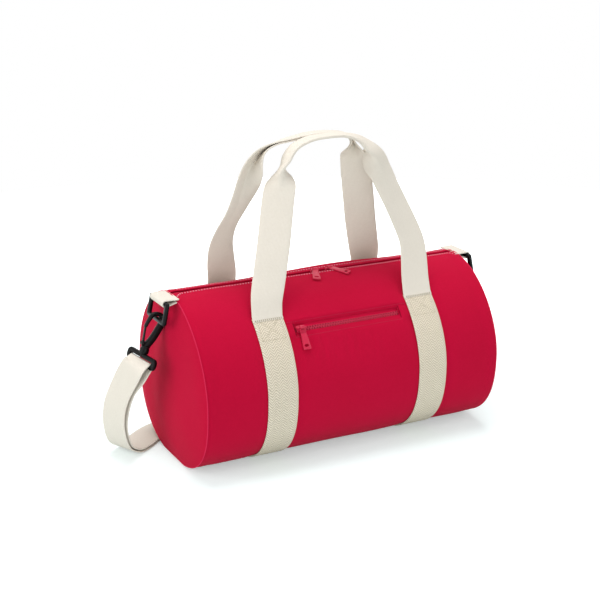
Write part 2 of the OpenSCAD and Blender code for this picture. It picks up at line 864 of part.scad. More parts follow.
module swivel_eye(side)
    color(plastic)
        hung_at(side)
            hook_place()
                translate([foot_x, yoke_y, 0])
                    rotate([0, eye_turn, 0]) {
                        rotate([-90, 0, 0])
                            cylinder(h = post_len, r = post_r, $fn = round_fn);
                        for (z = [-1, 1]) {
                            translate([0, 0, z * eye_half])
                                rotate([90, 0, 0])
                                    cylinder(h = eye_drop, r = eye_r, $fn = round_fn);
                            for (y = [0, -eye_drop])
                                translate([0, y, z * eye_half])
                                    sphere(r = eye_r, $fn = round_fn);
                        }
                        for (y = [0, -eye_drop])
                            translate([0, y, -eye_half])
                                cylinder(h = 2 * eye_half, r = eye_r, $fn = round_fn);
                    }

// Shoulder strap

// Directions at the left eye: down the hook, along the bar towards the front, and outwards
eye_down = [-sin(hook_tilt), 0, -cos(hook_tilt)];
eye_side = [-cos(hook_tilt), 0, sin(hook_tilt)];
eye_along = -sin(eye_turn) * eye_side + cos(eye_turn) * [0, -1, 0];
eye_out = cross(eye_down, eye_along);
eye_at = [ring_low[0], tab_y, ring_low[2]] + foot_x * eye_side + (eye_drop - yoke_y) * eye_down;

strap_back = half_w - strap_under;
lie = web_t / 2 + pin_gap;
lift = adjuster_bar + run_gap;
layer = web_t + run_gap;
wrap_r = eye_r + 1.5 * run_gap + web_t / 2;

// Route of the outer layer from the eye to the middle of the straight run. Each row holds shares
// of the bow, of the way back and of the eye's height, then the turn of the width in degrees.
outer_shares = [
    [0.9, 0.11, 0.76, 15],
    [1, 0.2, 0.54, 18],
    [0.99, 0.27, 0.32, 21],
    [0.87, 0.34, 0.12, 24],
    [0.66, 0.42, 0.025, 26],
    [0.42, 0.52, 0, 27],
    [-0.05, 0.76, 0, 26],
    [-0.48, 0.84, 0, 20],
    [-0.95, 0.96, 0, 10],
    [-1.4, 1, 0, 0],
    [-1.8, 1, 0, 0],
    [-2.8, 1, 0, 0]
];

// Route of the inner layer, by the same shares
inner_shares = [
    [0.75, 0.11, 0.76, 15],
    [0.86, 0.2, 0.55, 18],
    [0.9, 0.27, 0.35, 21],
    [0.82, 0.34, 0.16, 24],
    [0.645, 0.42, 0.062, 26],
    [0.42, 0.52, 0.03, 27],
    [-0.05, 0.76, 0.02, 26],
    [-0.48, 0.84, 0.03, 20],
    [-0.95, 0.96, 0.03, 10],
    [-1.4, 1, 0.03, 0],
    [-1.8, 1, 0.03, 0]
];

lift_from = 130;
lift_over = 40;

// Rise that carries the webbing over the adjuster's side bars
function lifted(x) = lift * max(0, min(1, (lift_from - abs(x)) / lift_over));

// Place and width direction of one row
function strap_row(s, under = 0) =
    let(x = -half_len - strap_bow * s[0],
        z = max(lie + under, lie + (eye_at[2] - lie) * s[2]))
    [x, tab_y + (strap_back - tab_y) * s[1], z + lifted(x), s[3], 0];

strap_steps = 4;

function strap_station(r) =
    [[r[0], r[1], r[2]], [sin(r[3]), -cos(r[3]), r[4]], web_w, web_t];

function run_stations(rows, from = 0) =
    [for (i = [from : strap_steps * (len(rows) - 1)]) strap_station(curve_at(rows, i / strap_steps))];

// Point of the wrap at angle a, which starts at the bar's inner side and goes over its top
function wrap_at(a) = eye_at - wrap_r * (cos(a) * eye_out + sin(a) * eye_down);

// Row of a run that leaves the wrap at angle a, d further on its way down and outwards
function eye_row(a, lean, d = 0) =
    let(p = wrap_at(a) + d * (sin(lean) * eye_out + cos(lean) * eye_down))
    [p[0], p[1], p[2], eye_turn, eye_along[2]];

outer_lean = 32;
inner_lean = 17;
first_drop = 11;
wrap_from = -inner_lean;
wrap_to = half_turn - outer_lean;

outer_rows = concat([eye_row(wrap_to, outer_lean), eye_row(wrap_to, outer_lean, first_drop)],
    [for (s = outer_shares) strap_row(s)]);
inner_rows = concat([eye_row(wrap_from, inner_lean), eye_row(wrap_from, inner_lean, first_drop)],
    [for (s = inner_shares) strap_row(s, layer)]);
tail_rows = [for (i = [0 : 3]) inner_rows[i]];
wrap_steps = 9;

// Webbing round the eye's bar
wrap_stations = [for (i = [1 : wrap_steps - 1])
    [wrap_at(wrap_from + (wrap_to - wrap_from) * i / wrap_steps), eye_along, web_w, web_t]];

function backwards(v) = [for (i = [len(v) - 1 : -1 : 0]) v[i]];

// Right half of the strap: the mirror image, further back where it nears the right tab
function mirrored(v) =
    [for (s = v)
        let(back = right_shift * min(1, s[0][2] / (eye_at[2] - 2 * first_drop)))
        [[-s[0][0], s[0][1] + back, s[0][2]], [-s[1][0], s[1][1], s[1][2]], s[2], s[3]]];

left_inner = run_stations(inner_rows);
left_outer = run_stations(outer_rows);
right_tail = run_stations(tail_rows);
return_end = adjuster_x - loop_len - 2 * run_gap;
kept_inner = [for (s = left_inner) if (s[0][0] < return_end) s];
left_stations = concat(
    [[[return_end, strap_back, lie + layer + lift], [0, -1, 0], web_w, web_t]],
    backwards(kept_inner), wrap_stations, left_outer);
right_stations = mirrored(backwards(concat(backwards(right_tail), wrap_stations, left_outer)));

module shoulder_strap()
    color(natural)
        sweep_band(concat(left_stations, right_stations));

// Adjuster on the straight run: side bars under the webbing and a middle bar over it

adjuster_r = adjuster_bar / 2;
loop_r = adjuster_r + run_gap + web_t / 2;
run_z = lie + lift;
loop_low_z = run_z + layer;
adjuster_mid_z = loop_low_z + loop_r;
rail_w = 3;
rail_y = web_w / 2 + 2 * run_gap;
rail_h = adjuster_mid_z + adjuster_r;

loop_out = loop_r + web_t / 2;

module strap_adjuster()
    color(plastic)
        translate([adjuster_x, strap_back, 0]) {
            for (y = [-1, 1])
                translate([0, y * (rail_y + rail_w / 2), rail_h / 2])
                    cube([adjuster_len, rail_w, rail_h], center = true);
            for (x = [-1, 1])
                translate([x * (adjuster_len - adjuster_bar) / 2, 0, adjuster_bar / 2])
                    cube([adjuster_bar, 2 * rail_y, adjuster_bar], center = true);
            translate([0, -rail_y, adjuster_mid_z])
                rotate([-90, 0, 0])
                    cylinder(h = 2 * rail_y, r = adjuster_r, $fn = round_fn);
        }

// Sewn end of the webbing round the adjuster's middle bar
module adjuster_loop()
    color(natural)
        translate([adjuster_x, strap_back + web_w / 2, adjuster_mid_z])
            rotate([90, 0, 0])
                linear_extrude(web_w)
                    difference() {
                        polygon(concat(
                            [for (i = [0 : round_fn / 2])
                                let(a = half_turn * (2 * i / round_fn - 0.5))
                                loop_out * [cos(a), sin(a)]],
                            [[-loop_len / 2, 2 * web_t - loop_out],
                                [-loop_len, 2 * web_t - loop_out],
                                [-loop_len, -loop_out]]));
                        circle(r = loop_r - web_t / 2, $fn = round_fn);
                    }

barrel_panel();
end_panel(-1);  // end_panel_left
end_panel(1);  // end_panel_right
seam_binding(-1);  // seam_binding_left
seam_binding(1);  // seam_binding_right
band(-1);  // band_left
band(1);  // band_right
front_handle();
back_handle();
main_zip_tape(-1);  // main_zip_tape_front
main_zip_tape(1);  // main_zip_tape_back
main_zip_teeth(-1);  // main_zip_teeth_front
main_zip_teeth(1);  // main_zip_teeth_back
main_zip_stops();
main_slider(-1);  // main_slider_left
main_slider(1);  // main_slider_right
main_puller(-1);  // main_puller_left
main_puller(1);  // main_puller_right
pocket_zip_tapes();
pocket_zip_teeth();
pocket_zip_stops();
pocket_slider();
pocket_puller();
pocket_pouch();
tab(-1);  // tab_left
tab(1);  // tab_right
ring(-1);  // ring_left
ring(1);  // ring_right
hook(-1);  // hook_left
hook(1);  // hook_right
gate(-1);  // gate_left
gate(1);  // gate_right
swivel_eye(-1);  // swivel_eye_left
swivel_eye(1);  // swivel_eye_right
shoulder_strap();
strap_adjuster();
adjuster_loop();
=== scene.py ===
"""Looks of the barrel bag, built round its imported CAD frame.

Every size is in metres, in the frame of the CAD: the origin is the middle of the barrel's
underside, +X runs along the barrel and -Y is the side with the pocket.
"""

from __future__ import annotations

import json
import logging
import math
from dataclasses import dataclass, field
from enum import Enum
from typing import Callable, Iterable, Sequence

import bpy
import numpy as np
from mathutils import Euler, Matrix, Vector

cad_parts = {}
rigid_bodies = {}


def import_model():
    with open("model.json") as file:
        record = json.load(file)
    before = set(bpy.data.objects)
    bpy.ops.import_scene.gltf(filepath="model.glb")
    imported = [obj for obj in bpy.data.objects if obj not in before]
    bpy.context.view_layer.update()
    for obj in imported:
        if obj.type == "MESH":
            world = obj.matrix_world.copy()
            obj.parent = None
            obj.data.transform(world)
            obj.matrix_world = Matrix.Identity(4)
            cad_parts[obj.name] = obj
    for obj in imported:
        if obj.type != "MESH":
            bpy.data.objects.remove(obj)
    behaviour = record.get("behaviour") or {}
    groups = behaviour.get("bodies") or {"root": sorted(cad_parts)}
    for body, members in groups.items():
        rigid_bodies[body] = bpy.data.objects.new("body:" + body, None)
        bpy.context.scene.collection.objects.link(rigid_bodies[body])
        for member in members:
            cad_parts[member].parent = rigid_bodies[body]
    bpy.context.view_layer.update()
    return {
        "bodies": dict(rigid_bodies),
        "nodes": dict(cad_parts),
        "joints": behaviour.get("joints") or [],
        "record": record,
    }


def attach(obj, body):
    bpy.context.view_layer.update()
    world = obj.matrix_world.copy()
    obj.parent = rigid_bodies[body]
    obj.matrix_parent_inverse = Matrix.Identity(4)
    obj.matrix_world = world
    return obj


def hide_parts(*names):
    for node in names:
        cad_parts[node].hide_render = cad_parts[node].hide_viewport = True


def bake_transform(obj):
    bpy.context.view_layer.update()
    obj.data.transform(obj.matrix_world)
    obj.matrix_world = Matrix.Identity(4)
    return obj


LOG = logging.getLogger("barrel_bag")
MM = 0.001
Piece = bpy.types.Object
Socket = bpy.types.NodeSocket
Colour = tuple[float, float, float, float]
Array = np.ndarray
Table = tuple[tuple[float, ...], ...]


class Side(Enum):
    """Left or right half of the bag, as seen from its front."""

    LEFT = -1
    RIGHT = 1

    @property
    def word(self) -> str:
        """The side's name, as the CAD nodes spell it."""
        return self.name.lower()


class Weave(Enum):
    """How a cloth's threads cross."""

    PLAIN = "plain"
    HERRINGBONE = "herringbone"
    RIBBED = "ribbed"


# Small sums


def unit(v: Array) -> Array:
    """Returns v at length one."""
    return v / np.linalg.norm(v)


def smooth(t: Array | float) -> Array | float:
    """Returns the smooth step of t, which is held between 0 and 1."""
    t = np.clip(t, 0.0, 1.0)
    return t * t * (3.0 - 2.0 * t)


def bump(distance: Array | float, reach: float) -> Array:
    """Returns a soft hump that is 1 at no distance and fades over reach."""
    return np.exp(-((distance / reach) ** 2))


def circle(angles: Array) -> Array:
    """Returns points on a circle of radius one, one row for each angle."""
    return np.stack([np.cos(angles), np.sin(angles)], axis=1)


def curve_at(rows: Array, t: float) -> Array:
    """Smooth curve through the rows of a table.

    Args:
        rows: The table, one row for each point.
        t: How many rows from the first one.

    Returns:
        The row at t, between the table's own.
    """
    last = len(rows) - 1
    i = min(int(math.floor(t)), last - 1)
    u = t - i
    a, b, c, d = rows[max(i - 1, 0)], rows[i], rows[i + 1], rows[min(i + 2, last)]
    return (
        2 * b
        + (c - a) * u
        + (2 * a - 5 * b + 4 * c - d) * u * u
        + (3 * b - a - 3 * c + d) * u**3
    ) / 2


def wave_sum(x: Array, s: Array, seed: int, scale: float, count: int = 9) -> Array:
    """Soft uneven waves over a cloth, the same in every run.

    Args:
        x: First coordinate of each point.
        s: Second coordinate of each point.
        seed: Picks the waves.
        scale: Rough distance from one crest to the next.
        count: How many waves are added up.

    Returns:
        A height for each point, mostly between -1 and 1.
    """
    draw = np.random.default_rng(seed)
    total = np.zeros_like(x)
    for _ in range(count):
        way = draw.uniform(0, math.tau)
        size = scale * draw.uniform(0.7, 1.6)
        phase = draw.uniform(0, math.tau)
        total += np.sin((x * math.cos(way) + s * math.sin(way)) * math.tau / size + phase)
    return total / math.sqrt(count * 2.0)


# Modelling helpers


def select_only(piece: Piece) -> None:
    """Deselects everything else and makes piece the active object."""
    for other in bpy.context.selected_objects:
        other.select_set(False)
    piece.select_set(True)
    bpy.context.view_layer.objects.active = piece


def in_edit_mode(piece: Piece, steps: Callable[[], None]) -> None:
    """Runs steps on the whole mesh of piece in edit mode.

    Args:
        piece: The mesh that is worked on.
        steps: The operators to run.
    """
    select_only(piece)
    bpy.ops.object.mode_set(mode="EDIT")
    bpy.ops.mesh.select_mode(type="VERT")
    bpy.ops.mesh.select_all(action="SELECT")
    steps()
    bpy.ops.object.mode_set(mode="OBJECT")


def on_part_of(
    piece: Piece, kind: str, chosen: Callable[[object], bool], steps: Callable[[], None]
) -> None:
    """Runs steps in edit mode on some vertices or faces of piece.

    Args:
        piece: The mesh that is worked on.
        kind: VERT for vertices or FACE for faces.
        chosen: Says whether a vertex or face is worked on.
        steps: The operators to run.
    """
    mesh = piece.data
    for part in (*mesh.vertices, *mesh.edges, *mesh.polygons):
        part.select = False
    for part in mesh.vertices if kind == "VERT" else mesh.polygons:
        part.select = bool(chosen(part))
    select_only(piece)
    bpy.ops.object.mode_set(mode="EDIT")
    bpy.ops.mesh.select_mode(type=kind)
    steps()
    bpy.ops.object.mode_set(mode="OBJECT")


def face_outwards() -> None:
    """Turns the selected faces outwards, in edit mode."""
    bpy.ops.mesh.normals_make_consistent(inside=False)


def flip_faces() -> None:
    """Turns the selected faces to their other side, in edit mode."""
    bpy.ops.mesh.flip_normals()


def corners_of(piece: Piece) -> Array:
    """Returns the places of all of a mesh's vertices, one row each."""
    flat = np.zeros(len(piece.data.vertices) * 3)
    piece.data.vertices.foreach_get("co", flat)
    return flat.reshape(-1, 3)


def set_corners(piece: Piece, places: Array) -> None:
    """Moves a mesh's vertices to places, one row each."""
    piece.data.vertices.foreach_set("co", places.ravel())
    piece.data.update()


def lay_grid(
    name: str, points: Array, uv: Array, closed: bool = False, capped: bool = False
) -> Piece:
    """Adds a grid and lays it over rows of points, so it becomes a sheet or a tube.

    Args:
        name: The piece's name.
        points: Places as an array of rows, columns and three coordinates.
        uv: Flat places of the same points in metres, which the weave follows.
        closed: Whether the first and last columns, or a pole's points, are one.
        capped: Whether the open ends are filled.

    Returns:
        The new piece.
    """
    rows, columns = points.shape[:2]
    bpy.ops.mesh.primitive_grid_add(x_subdivisions=columns - 1, y_subdivisions=rows - 1, size=2.0)
    piece = bpy.context.object
    piece.name = piece.data.name = name
    flat = corners_of(piece)
    column = np.rint((flat[:, 0] + 1) / 2 * (columns - 1)).astype(int)
    row = np.rint((flat[:, 1] + 1) / 2 * (rows - 1)).astype(int)
    set_corners(piece, points[row, column])
    loops = np.zeros(len(piece.data.loops), dtype=np.int64)
    piece.data.loops.foreach_get("vertex_index", loops)
    piece.data.uv_layers[0].data.foreach_set("uv", uv[row[loops], column[loops]].ravel())

    def finish_grid() -> None:
        """Joins what meets, fills the ends and turns the faces outwards."""
        if closed:
            bpy.ops.mesh.remove_doubles(threshold=1e-6)
        if capped:
            bpy.ops.mesh.select_all(action="SELECT")
            bpy.ops.mesh.fill_holes(sides=0)
        bpy.ops.mesh.select_all(action="SELECT")
        face_outwards()

    in_edit_mode(piece, finish_grid)
    return piece


def face_away(piece: Piece, centre: Array) -> None:
    """Turns an open sheet so that its faces look away from a point.

    Args:
        piece: The sheet.
        centre: A point on its inner side.
    """
    total = sum(
        (np.array(p.center) - centre) @ np.array(p.normal) * p.area for p in piece.data.polygons
    )
    if total < 0:
        in_edit_mode(piece, flip_faces)


def thicken(piece: Piece, thick: float, inward: bool = True) -> None:
    """Gives a sheet its thickness.

    Args:
        piece: The sheet.
        thick: The thickness.
        inward: Whether it grows against its faces, or evenly to both sides.
    """
    solid = piece.modifiers.new("thickness", "SOLIDIFY")
    solid.thickness = thick
    solid.offset = -1.0 if inward else 0.0
    solid.use_even_offset = True
    apply_all(piece)


def round_edges(piece: Piece, width: float, angle: float) -> None:
    """Bevels a piece's sharp edges with two faces across each.

    Args:
        piece: The mesh.
        width: Width of the bevel.
        angle: Edges sharper than this many degrees are bevelled.
    """
    bevel = piece.modifiers.new("edges", "BEVEL")
    bevel.width = width
    bevel.segments = 2
    bevel.limit_method = "ANGLE"
    bevel.angle_limit = math.radians(angle)
    bevel.use_clamp_overlap = True
    apply_all(piece)


def apply_all(piece: Piece) -> None:
    """Applies all of a piece's modifiers in order."""
    select_only(piece)
    for modifier in list(piece.modifiers):
        bpy.ops.object.modifier_apply(modifier=modifier.name)


def smooth_faces(piece: Piece, angle: float = 40) -> None:
    """Shades a piece smooth, apart from edges sharper than angle degrees."""
    select_only(piece)
    bpy.ops.object.shade_smooth_by_angle(angle=math.radians(angle))


def copy_of_node(node: Piece, name: str) -> Piece:
    """Copies a CAD node's mesh and joins its loose triangles.

    Args:
        node: The CAD node, which is left as it is.
        name: The copy's name.

    Returns:
        The copy, with clean flat faces.
    """
    piece = bpy.data.objects.new(name, node.data.copy())
    piece.data.name = name
    bpy.context.scene.collection.objects.link(piece)
    piece.data.materials.clear()

    def tidy() -> None:
        """Merges the corners and joins flat triangles."""
        bpy.ops.mesh.remove_doubles(threshold=1e-5)
        bpy.ops.mesh.select_all(action="SELECT")
        bpy.ops.mesh.dissolve_limited(angle_limit=math.radians(4))

    in_edit_mode(piece, tidy)
    return piece


def join_copies(name: str, pattern: Piece, frames: Sequence[tuple[Array, Array]]) -> Piece:
    """Sets copies of a small shape at many places, as one mesh.

    Args:
        name: The new piece's name.
        pattern: The shape, drawn round the origin. It is deleted.
        frames: A place and three axes, as rows, for each copy.

    Returns:
        The new piece.
    """
    base = corners_of(pattern)
    faces = [list(p.vertices) for p in pattern.data.polygons]
    places, polygons = [], []
    for i, (place, axes) in enumerate(frames):
        places.append(place + base @ axes)
        polygons += [[v + i * len(base) for v in face] for face in faces]
    mesh = bpy.data.meshes.new(name)
    mesh.from_pydata(np.concatenate(places).tolist(), [], polygons)
    piece = bpy.data.objects.new(name, mesh)
    bpy.context.scene.collection.objects.link(piece)
    bpy.data.objects.remove(pattern)
    return piece


def axes_along(way: Array, up: Array) -> Array:
    """Returns three square axes as rows: along way, beside it, and near up."""
    x = unit(way)
    y = unit(np.cross(up, x))
    return np.array([x, y, np.cross(x, y)])


# Webbing and bars swept along a route


@dataclass(frozen=True)
class Station:
    """One place along a swept piece."""

    place: Array
    across: Array
    width: float = 38 * MM
    thick: float = 1.8 * MM
    fold: float = 0.0
    swing: float | None = None


def route_frames(stations: Sequence[Station], loop: bool = False) -> list[tuple[Array, ...]]:
    """Works out the square frames of a route.

    Args:
        stations: The route's stations.
        loop: Whether the last station is the first one again.

    Returns:
        For each station its direction across and its direction up.
    """
    count = len(stations)
    frames = []
    for i, s in enumerate(stations):
        if loop:
            ahead, behind = stations[(i + 1) % (count - 1)], stations[(i - 1) % (count - 1)]
        else:
            ahead, behind = stations[min(i + 1, count - 1)], stations[max(i - 1, 0)]
        way = unit(ahead.place - behind.place)
        across = unit(s.across - (s.across @ way) * way)
        frames.append((across, np.cross(across, way)))
    return frames


def run_lengths(points: Array) -> Array:
    """Returns how far along its line each point lies."""
    return np.concatenate([[0.0], np.cumsum(np.linalg.norm(np.diff(points, axis=0), axis=1))])


def flat_grid(around: Array, along: Array) -> Array:
    """Returns the flat places of a grid, from its columns' and its rows' lengths."""
    return np.stack(np.meshgrid(around, along), axis=2)


def folded_line(s: Array, h: Array, fold: float, thick: float) -> Array:
    """Section of webbing folded lengthwise about its middle.

    Args:
        s: Places across the flat webbing.
        h: Heights above its middle layer.
        fold: From 0, flat, to 1, with both halves side by side.
        thick: Thickness of the webbing.

    Returns:
        Places beside the fold's own plane and into the fold, round their middle.
    """
    turn = fold * math.pi / 2
    if turn < 1e-4:
        return np.stack([s, h], axis=1)
    radius = thick * 0.6 + 9 * MM * (1 - fold) ** 2
    reach = np.abs(s)
    angle = np.minimum(reach / radius, turn)
    straight = np.maximum(reach - radius * turn, 0)
    x = np.sign(s) * (radius * np.sin(angle) + straight * math.cos(turn) - h * np.sin(angle))
    y = radius * (1 - np.cos(angle)) + straight * math.sin(turn) + h * np.cos(angle)
    return np.stack([x, y - (y.max() + y.min()) / 2], axis=1)


def webbing_outline(width: float, thick: float) -> tuple[Array, Array]:
    """Outline of flat webbing with soft edges.

    Args:
        width: Width of the webbing.
        thick: Its thickness.

    Returns:
        Places across and heights of the outline's points, the last one the first again.
    """
    share = np.linspace(-1, 1, 15)
    flat = np.sign(share) * np.abs(share) ** 1.6 * (width - thick) / 2
    top_h = np.full_like(flat, thick / 2)
    edge_s = width / 2 - thick * np.array([0.16, 0.0, 0.16])
    edge_h = thick * np.array([0.36, 0.0, -0.36])
    s = np.concatenate([flat, edge_s, flat[::-1], -edge_s[::-1]])
    h = np.concatenate([top_h, edge_h, -top_h, edge_h[::-1]])
    return np.append(s, s[0]), np.append(h, h[0])


def webbing(name: str, stations: Sequence[Station]) -> Piece:
    """Sweeps webbing along its stations.

    One half of folded webbing stays as it lies and the other turns round it, unless a
    station's swing says how far the fold as a whole has turned.

    Args:
        name: The piece's name.
        stations: The route, with any fold.

    Returns:
        The webbing, with rounded edges.
    """
    lengths = run_lengths(np.array([s.place for s in stations]))
    rows, uvs = [], []
    for station, (across, up), length in zip(stations, route_frames(stations), lengths):
        s, h = webbing_outline(station.width, station.thick)
        turn = math.pi / 2 * (station.fold if station.swing is None else station.swing)
        beside = across * math.cos(turn) - up * math.sin(turn)
        inwards = -up * math.cos(turn) - across * math.sin(turn)
        section = folded_line(s, h, station.fold, station.thick)
        rows.append(station.place + section[:, :1] * beside + section[:, 1:] * inwards)
        uvs.append(np.stack([s, np.full_like(s, length)], axis=1))
    return lay_grid(name, np.array(rows), np.array(uvs), closed=True, capped=True)


def rounded_box(width: float, thick: float, corner: float, points: int = 3) -> Array:
    """Outline of a box with rounded corners, the last point the first again."""
    corner = min(corner, width / 2 * 0.98, thick / 2 * 0.98)
    outline = []
    for k, (sx, sy) in enumerate([(1, 1), (-1, 1), (-1, -1), (1, -1)]):
        for j in range(points + 1):
            a = math.pi / 2 * (k + j / points)
            x = sx * (width / 2 - corner) + corner * math.cos(a)
            y = sy * (thick / 2 - corner) + corner * math.sin(a)
            outline.append([x, y])
    return np.array(outline + outline[:1])


def bar(
    name: str,
    stations: Sequence[Station],
    corner: float,
    loop: bool = False,
    round_ends: bool = True,
) -> Piece:
    """Sweeps a rounded bar along its stations.

    Args:
        name: The piece's name.
        stations: The route with the bar's width and thickness.
        corner: Radius of its long edges.
        loop: Whether the route closes on itself.
        round_ends: Whether open ends are rounded off.

    Returns:
        The bar.
    """
    frames = route_frames(stations, loop)
    shares = ((0.45, 1.0), (0.8, 0.75), (0.95, 0.4)) if round_ends and not loop else ()

    def cap(k: int, way: int) -> list[tuple]:
        """Lists the ever smaller outlines of a rounded end."""
        depth = min(stations[k].width, stations[k].thick) * 0.4
        return [(stations[k], frames[k], size, way * depth * far) for size, far in shares]

    outlines = cap(0, -1) + [(*pair, 1.0, 0.0) for pair in zip(stations, frames)]
    rows, places = [], []
    for station, (across, up), size, ahead in outlines + cap(-1, 1)[::-1]:
        outline = rounded_box(station.width * size, station.thick * size, corner * size)
        centre = station.place + np.cross(up, across) * ahead
        rows.append(centre + outline[:, :1] * across + outline[:, 1:] * up)
        places.append(centre)
    points = np.array(rows)
    around = run_lengths(points[len(points) // 2])
    along = run_lengths(np.array(places))
    return lay_grid(name, points, flat_grid(around, along), closed=True, capped=not loop)


def plate_with_hole(
    name: str, outer: Array, inner: Array, thick: float, bevel: float, origin: Array, axes: Array
) -> Piece:
    """Models a flat plate round a hole, with bevelled rims.

    Args:
        name: The piece's name.
        outer: Outline of the plate, as many points as the hole has.
        inner: Outline of the hole.
        thick: Thickness of the plate.
        bevel: Width of the bevel.
        origin: Where the outlines' own origin lies.
        axes: Rows for the outlines' two directions and the plate's normal.

    Returns:
        The plate.
    """
    ways = inner - outer
    ways = ways / np.linalg.norm(ways, axis=1, keepdims=True)
    t = thick / 2
    rim = ((1, t), (0.3, t - bevel * 0.3), (0, t - bevel))
    rim += tuple((share, -height) for share, height in reversed(rim))
    loops = [(outer + ways * bevel * share, height) for share, height in rim]
    rim = ((1, -t), (0, bevel - t), (0, t - bevel), (1, t))
    loops += [(inner - ways * bevel * share, height) for share, height in rim]
    rows = [
        origin + np.append(flat, flat[:1], axis=0) @ axes[:2] + height * axes[2]
        for flat, height in (*loops, loops[0])
    ]
    points = np.array(rows)
    around = run_lengths(points[0])
    along = run_lengths(points[:, 0])
    return lay_grid(name, points, flat_grid(around, along), closed=True)


def turned(
    name: str, profile: Sequence[tuple[float, float]], origin: Array, axes: Array, steps: int = 32
) -> Piece:
    """Models a round piece from its profile.

    Args:
        name: The piece's name.
        profile: Radius and height of each ring, from one end to the other.
        origin: Where height 0 lies.
        axes: Rows for two directions across and the axis.
        steps: Points round each ring.

    Returns:
        The round piece.
    """
    angles = np.linspace(0, math.tau, steps + 1)
    rings = circle(angles)
    points = np.array([origin + r * rings @ axes[:2] + h * axes[2] for r, h in profile])
    around = angles * max(r for r, _ in profile)
    along = run_lengths(np.array([[r, h] for r, h in profile]))
    return lay_grid(name, points, flat_grid(around, along), closed=True)


def joined(name: str, pieces: Sequence[Piece]) -> Piece:
    """Joins pieces into the first one and names it.

    Args:
        name: The joined piece's name.
        pieces: The pieces to join.

    Returns:
        The joined piece.
    """
    select_only(pieces[0])
    for piece in pieces[1:]:
        piece.select_set(True)
    bpy.ops.object.join()
    pieces[0].name = pieces[0].data.name = name
    return pieces[0]


# Finishes


class Shader:
    """A material's node tree, with short ways to add and link nodes."""

    def __init__(self, tree: bpy.types.NodeTree) -> None:
        """Starts on an emptied tree."""
        self.tree = tree
        tree.nodes.clear()

    def feed(self, socket: Socket, value: object) -> None:
        """Links a socket to its source, or sets it to a number or a colour."""
        if isinstance(value, Socket):
            self.tree.links.new(value, socket)
        else:
            socket.default_value = value

    def node(
        self, kind: str, sockets: dict[str | int, object] | None = None, **settings: object
    ) -> bpy.types.Node:
        """Adds a node.

        Args:
            kind: The node's type, without its first word.
            sockets: What goes into its sockets, by name or number.
            **settings: Settings of the node by name.

        Returns:
            The new node.
        """
        made = self.tree.nodes.new(kind if kind.startswith("Node") else "ShaderNode" + kind)
        for key, value in settings.items():
            setattr(made, key, value)
        for key, value in (sockets or {}).items():
            self.feed(made.inputs[key], value)
        return made

    def math(self, operation: str, *inputs: object) -> Socket:
        """Adds a sum of numbers or sockets and returns its output."""
        return self.node("Math", dict(enumerate(inputs)), operation=operation).outputs[0]

    def plus(self, a: object, b: object) -> Socket:
        """Adds two numbers or sockets."""
        return self.math("ADD", a, b)

    def times(self, a: object, b: object) -> Socket:
        """Multiplies two numbers or sockets."""
        return self.math("MULTIPLY", a, b)

    def mix(self, factor: object, low: object, high: object) -> Socket:
        """Mixes two colours, low at factor 0 and high at factor 1."""
        return self.node("Mix", {0: factor, 6: low, 7: high}, data_type="RGBA").outputs[2]

    def noise(self, place: Socket, scale: float, detail: float) -> Socket:
        """Adds a noise over place and returns its value."""
        made = self.node("TexNoise", {"Scale": scale, "Detail": detail, "Vector": place})
        return made.outputs["Fac"]

    def seen(self) -> Socket:
        """Returns 1 where the camera looks, also by a shine or through glass, and 0 elsewhere."""
        path = self.node("LightPath")
        rays = [path.outputs[f"Is {word} Ray"] for word in ("Camera", "Glossy", "Transmission")]
        return self.math("MAXIMUM", rays[0], self.math("MAXIMUM", rays[1], rays[2]))


def new_material(name: str) -> tuple[bpy.types.Material, Shader]:
    """Adds a material with an empty node tree."""
    made = bpy.data.materials.new(name)
    made.use_nodes = True
    return made, Shader(made.node_tree)


def new_group(
    name: str, takes: Sequence[str], gives: Sequence[str]
) -> tuple[Shader, bpy.types.Node, bpy.types.Node]:
    """Adds a node group that takes a place.

    Args:
        name: The group's name.
        takes: Names of the numbers it takes after the place.
        gives: Names of the numbers it puts out.

    Returns:
        The group's tree, the node where it starts and the one where it ends.
    """
    tree = bpy.data.node_groups.new(name, "ShaderNodeTree")
    tree.interface.new_socket("Place", in_out="INPUT", socket_type="NodeSocketVector")
    for way, words in (("INPUT", takes), ("OUTPUT", gives)):
        for word in words:
            tree.interface.new_socket(word, in_out=way, socket_type="NodeSocketFloat")
    shader = Shader(tree)
    return shader, shader.node("NodeGroupInput"), shader.node("NodeGroupOutput")


def colour(red: int, green: int, blue: int) -> Colour:
    """Returns a colour, given as it shows on a screen, in the renderer's own scale."""
    shares = [c / 255 for c in (red, green, blue)]
    return (*[s / 12.92 if s <= 0.04045 else ((s + 0.055) / 1.055) ** 2.4 for s in shares], 1.0)


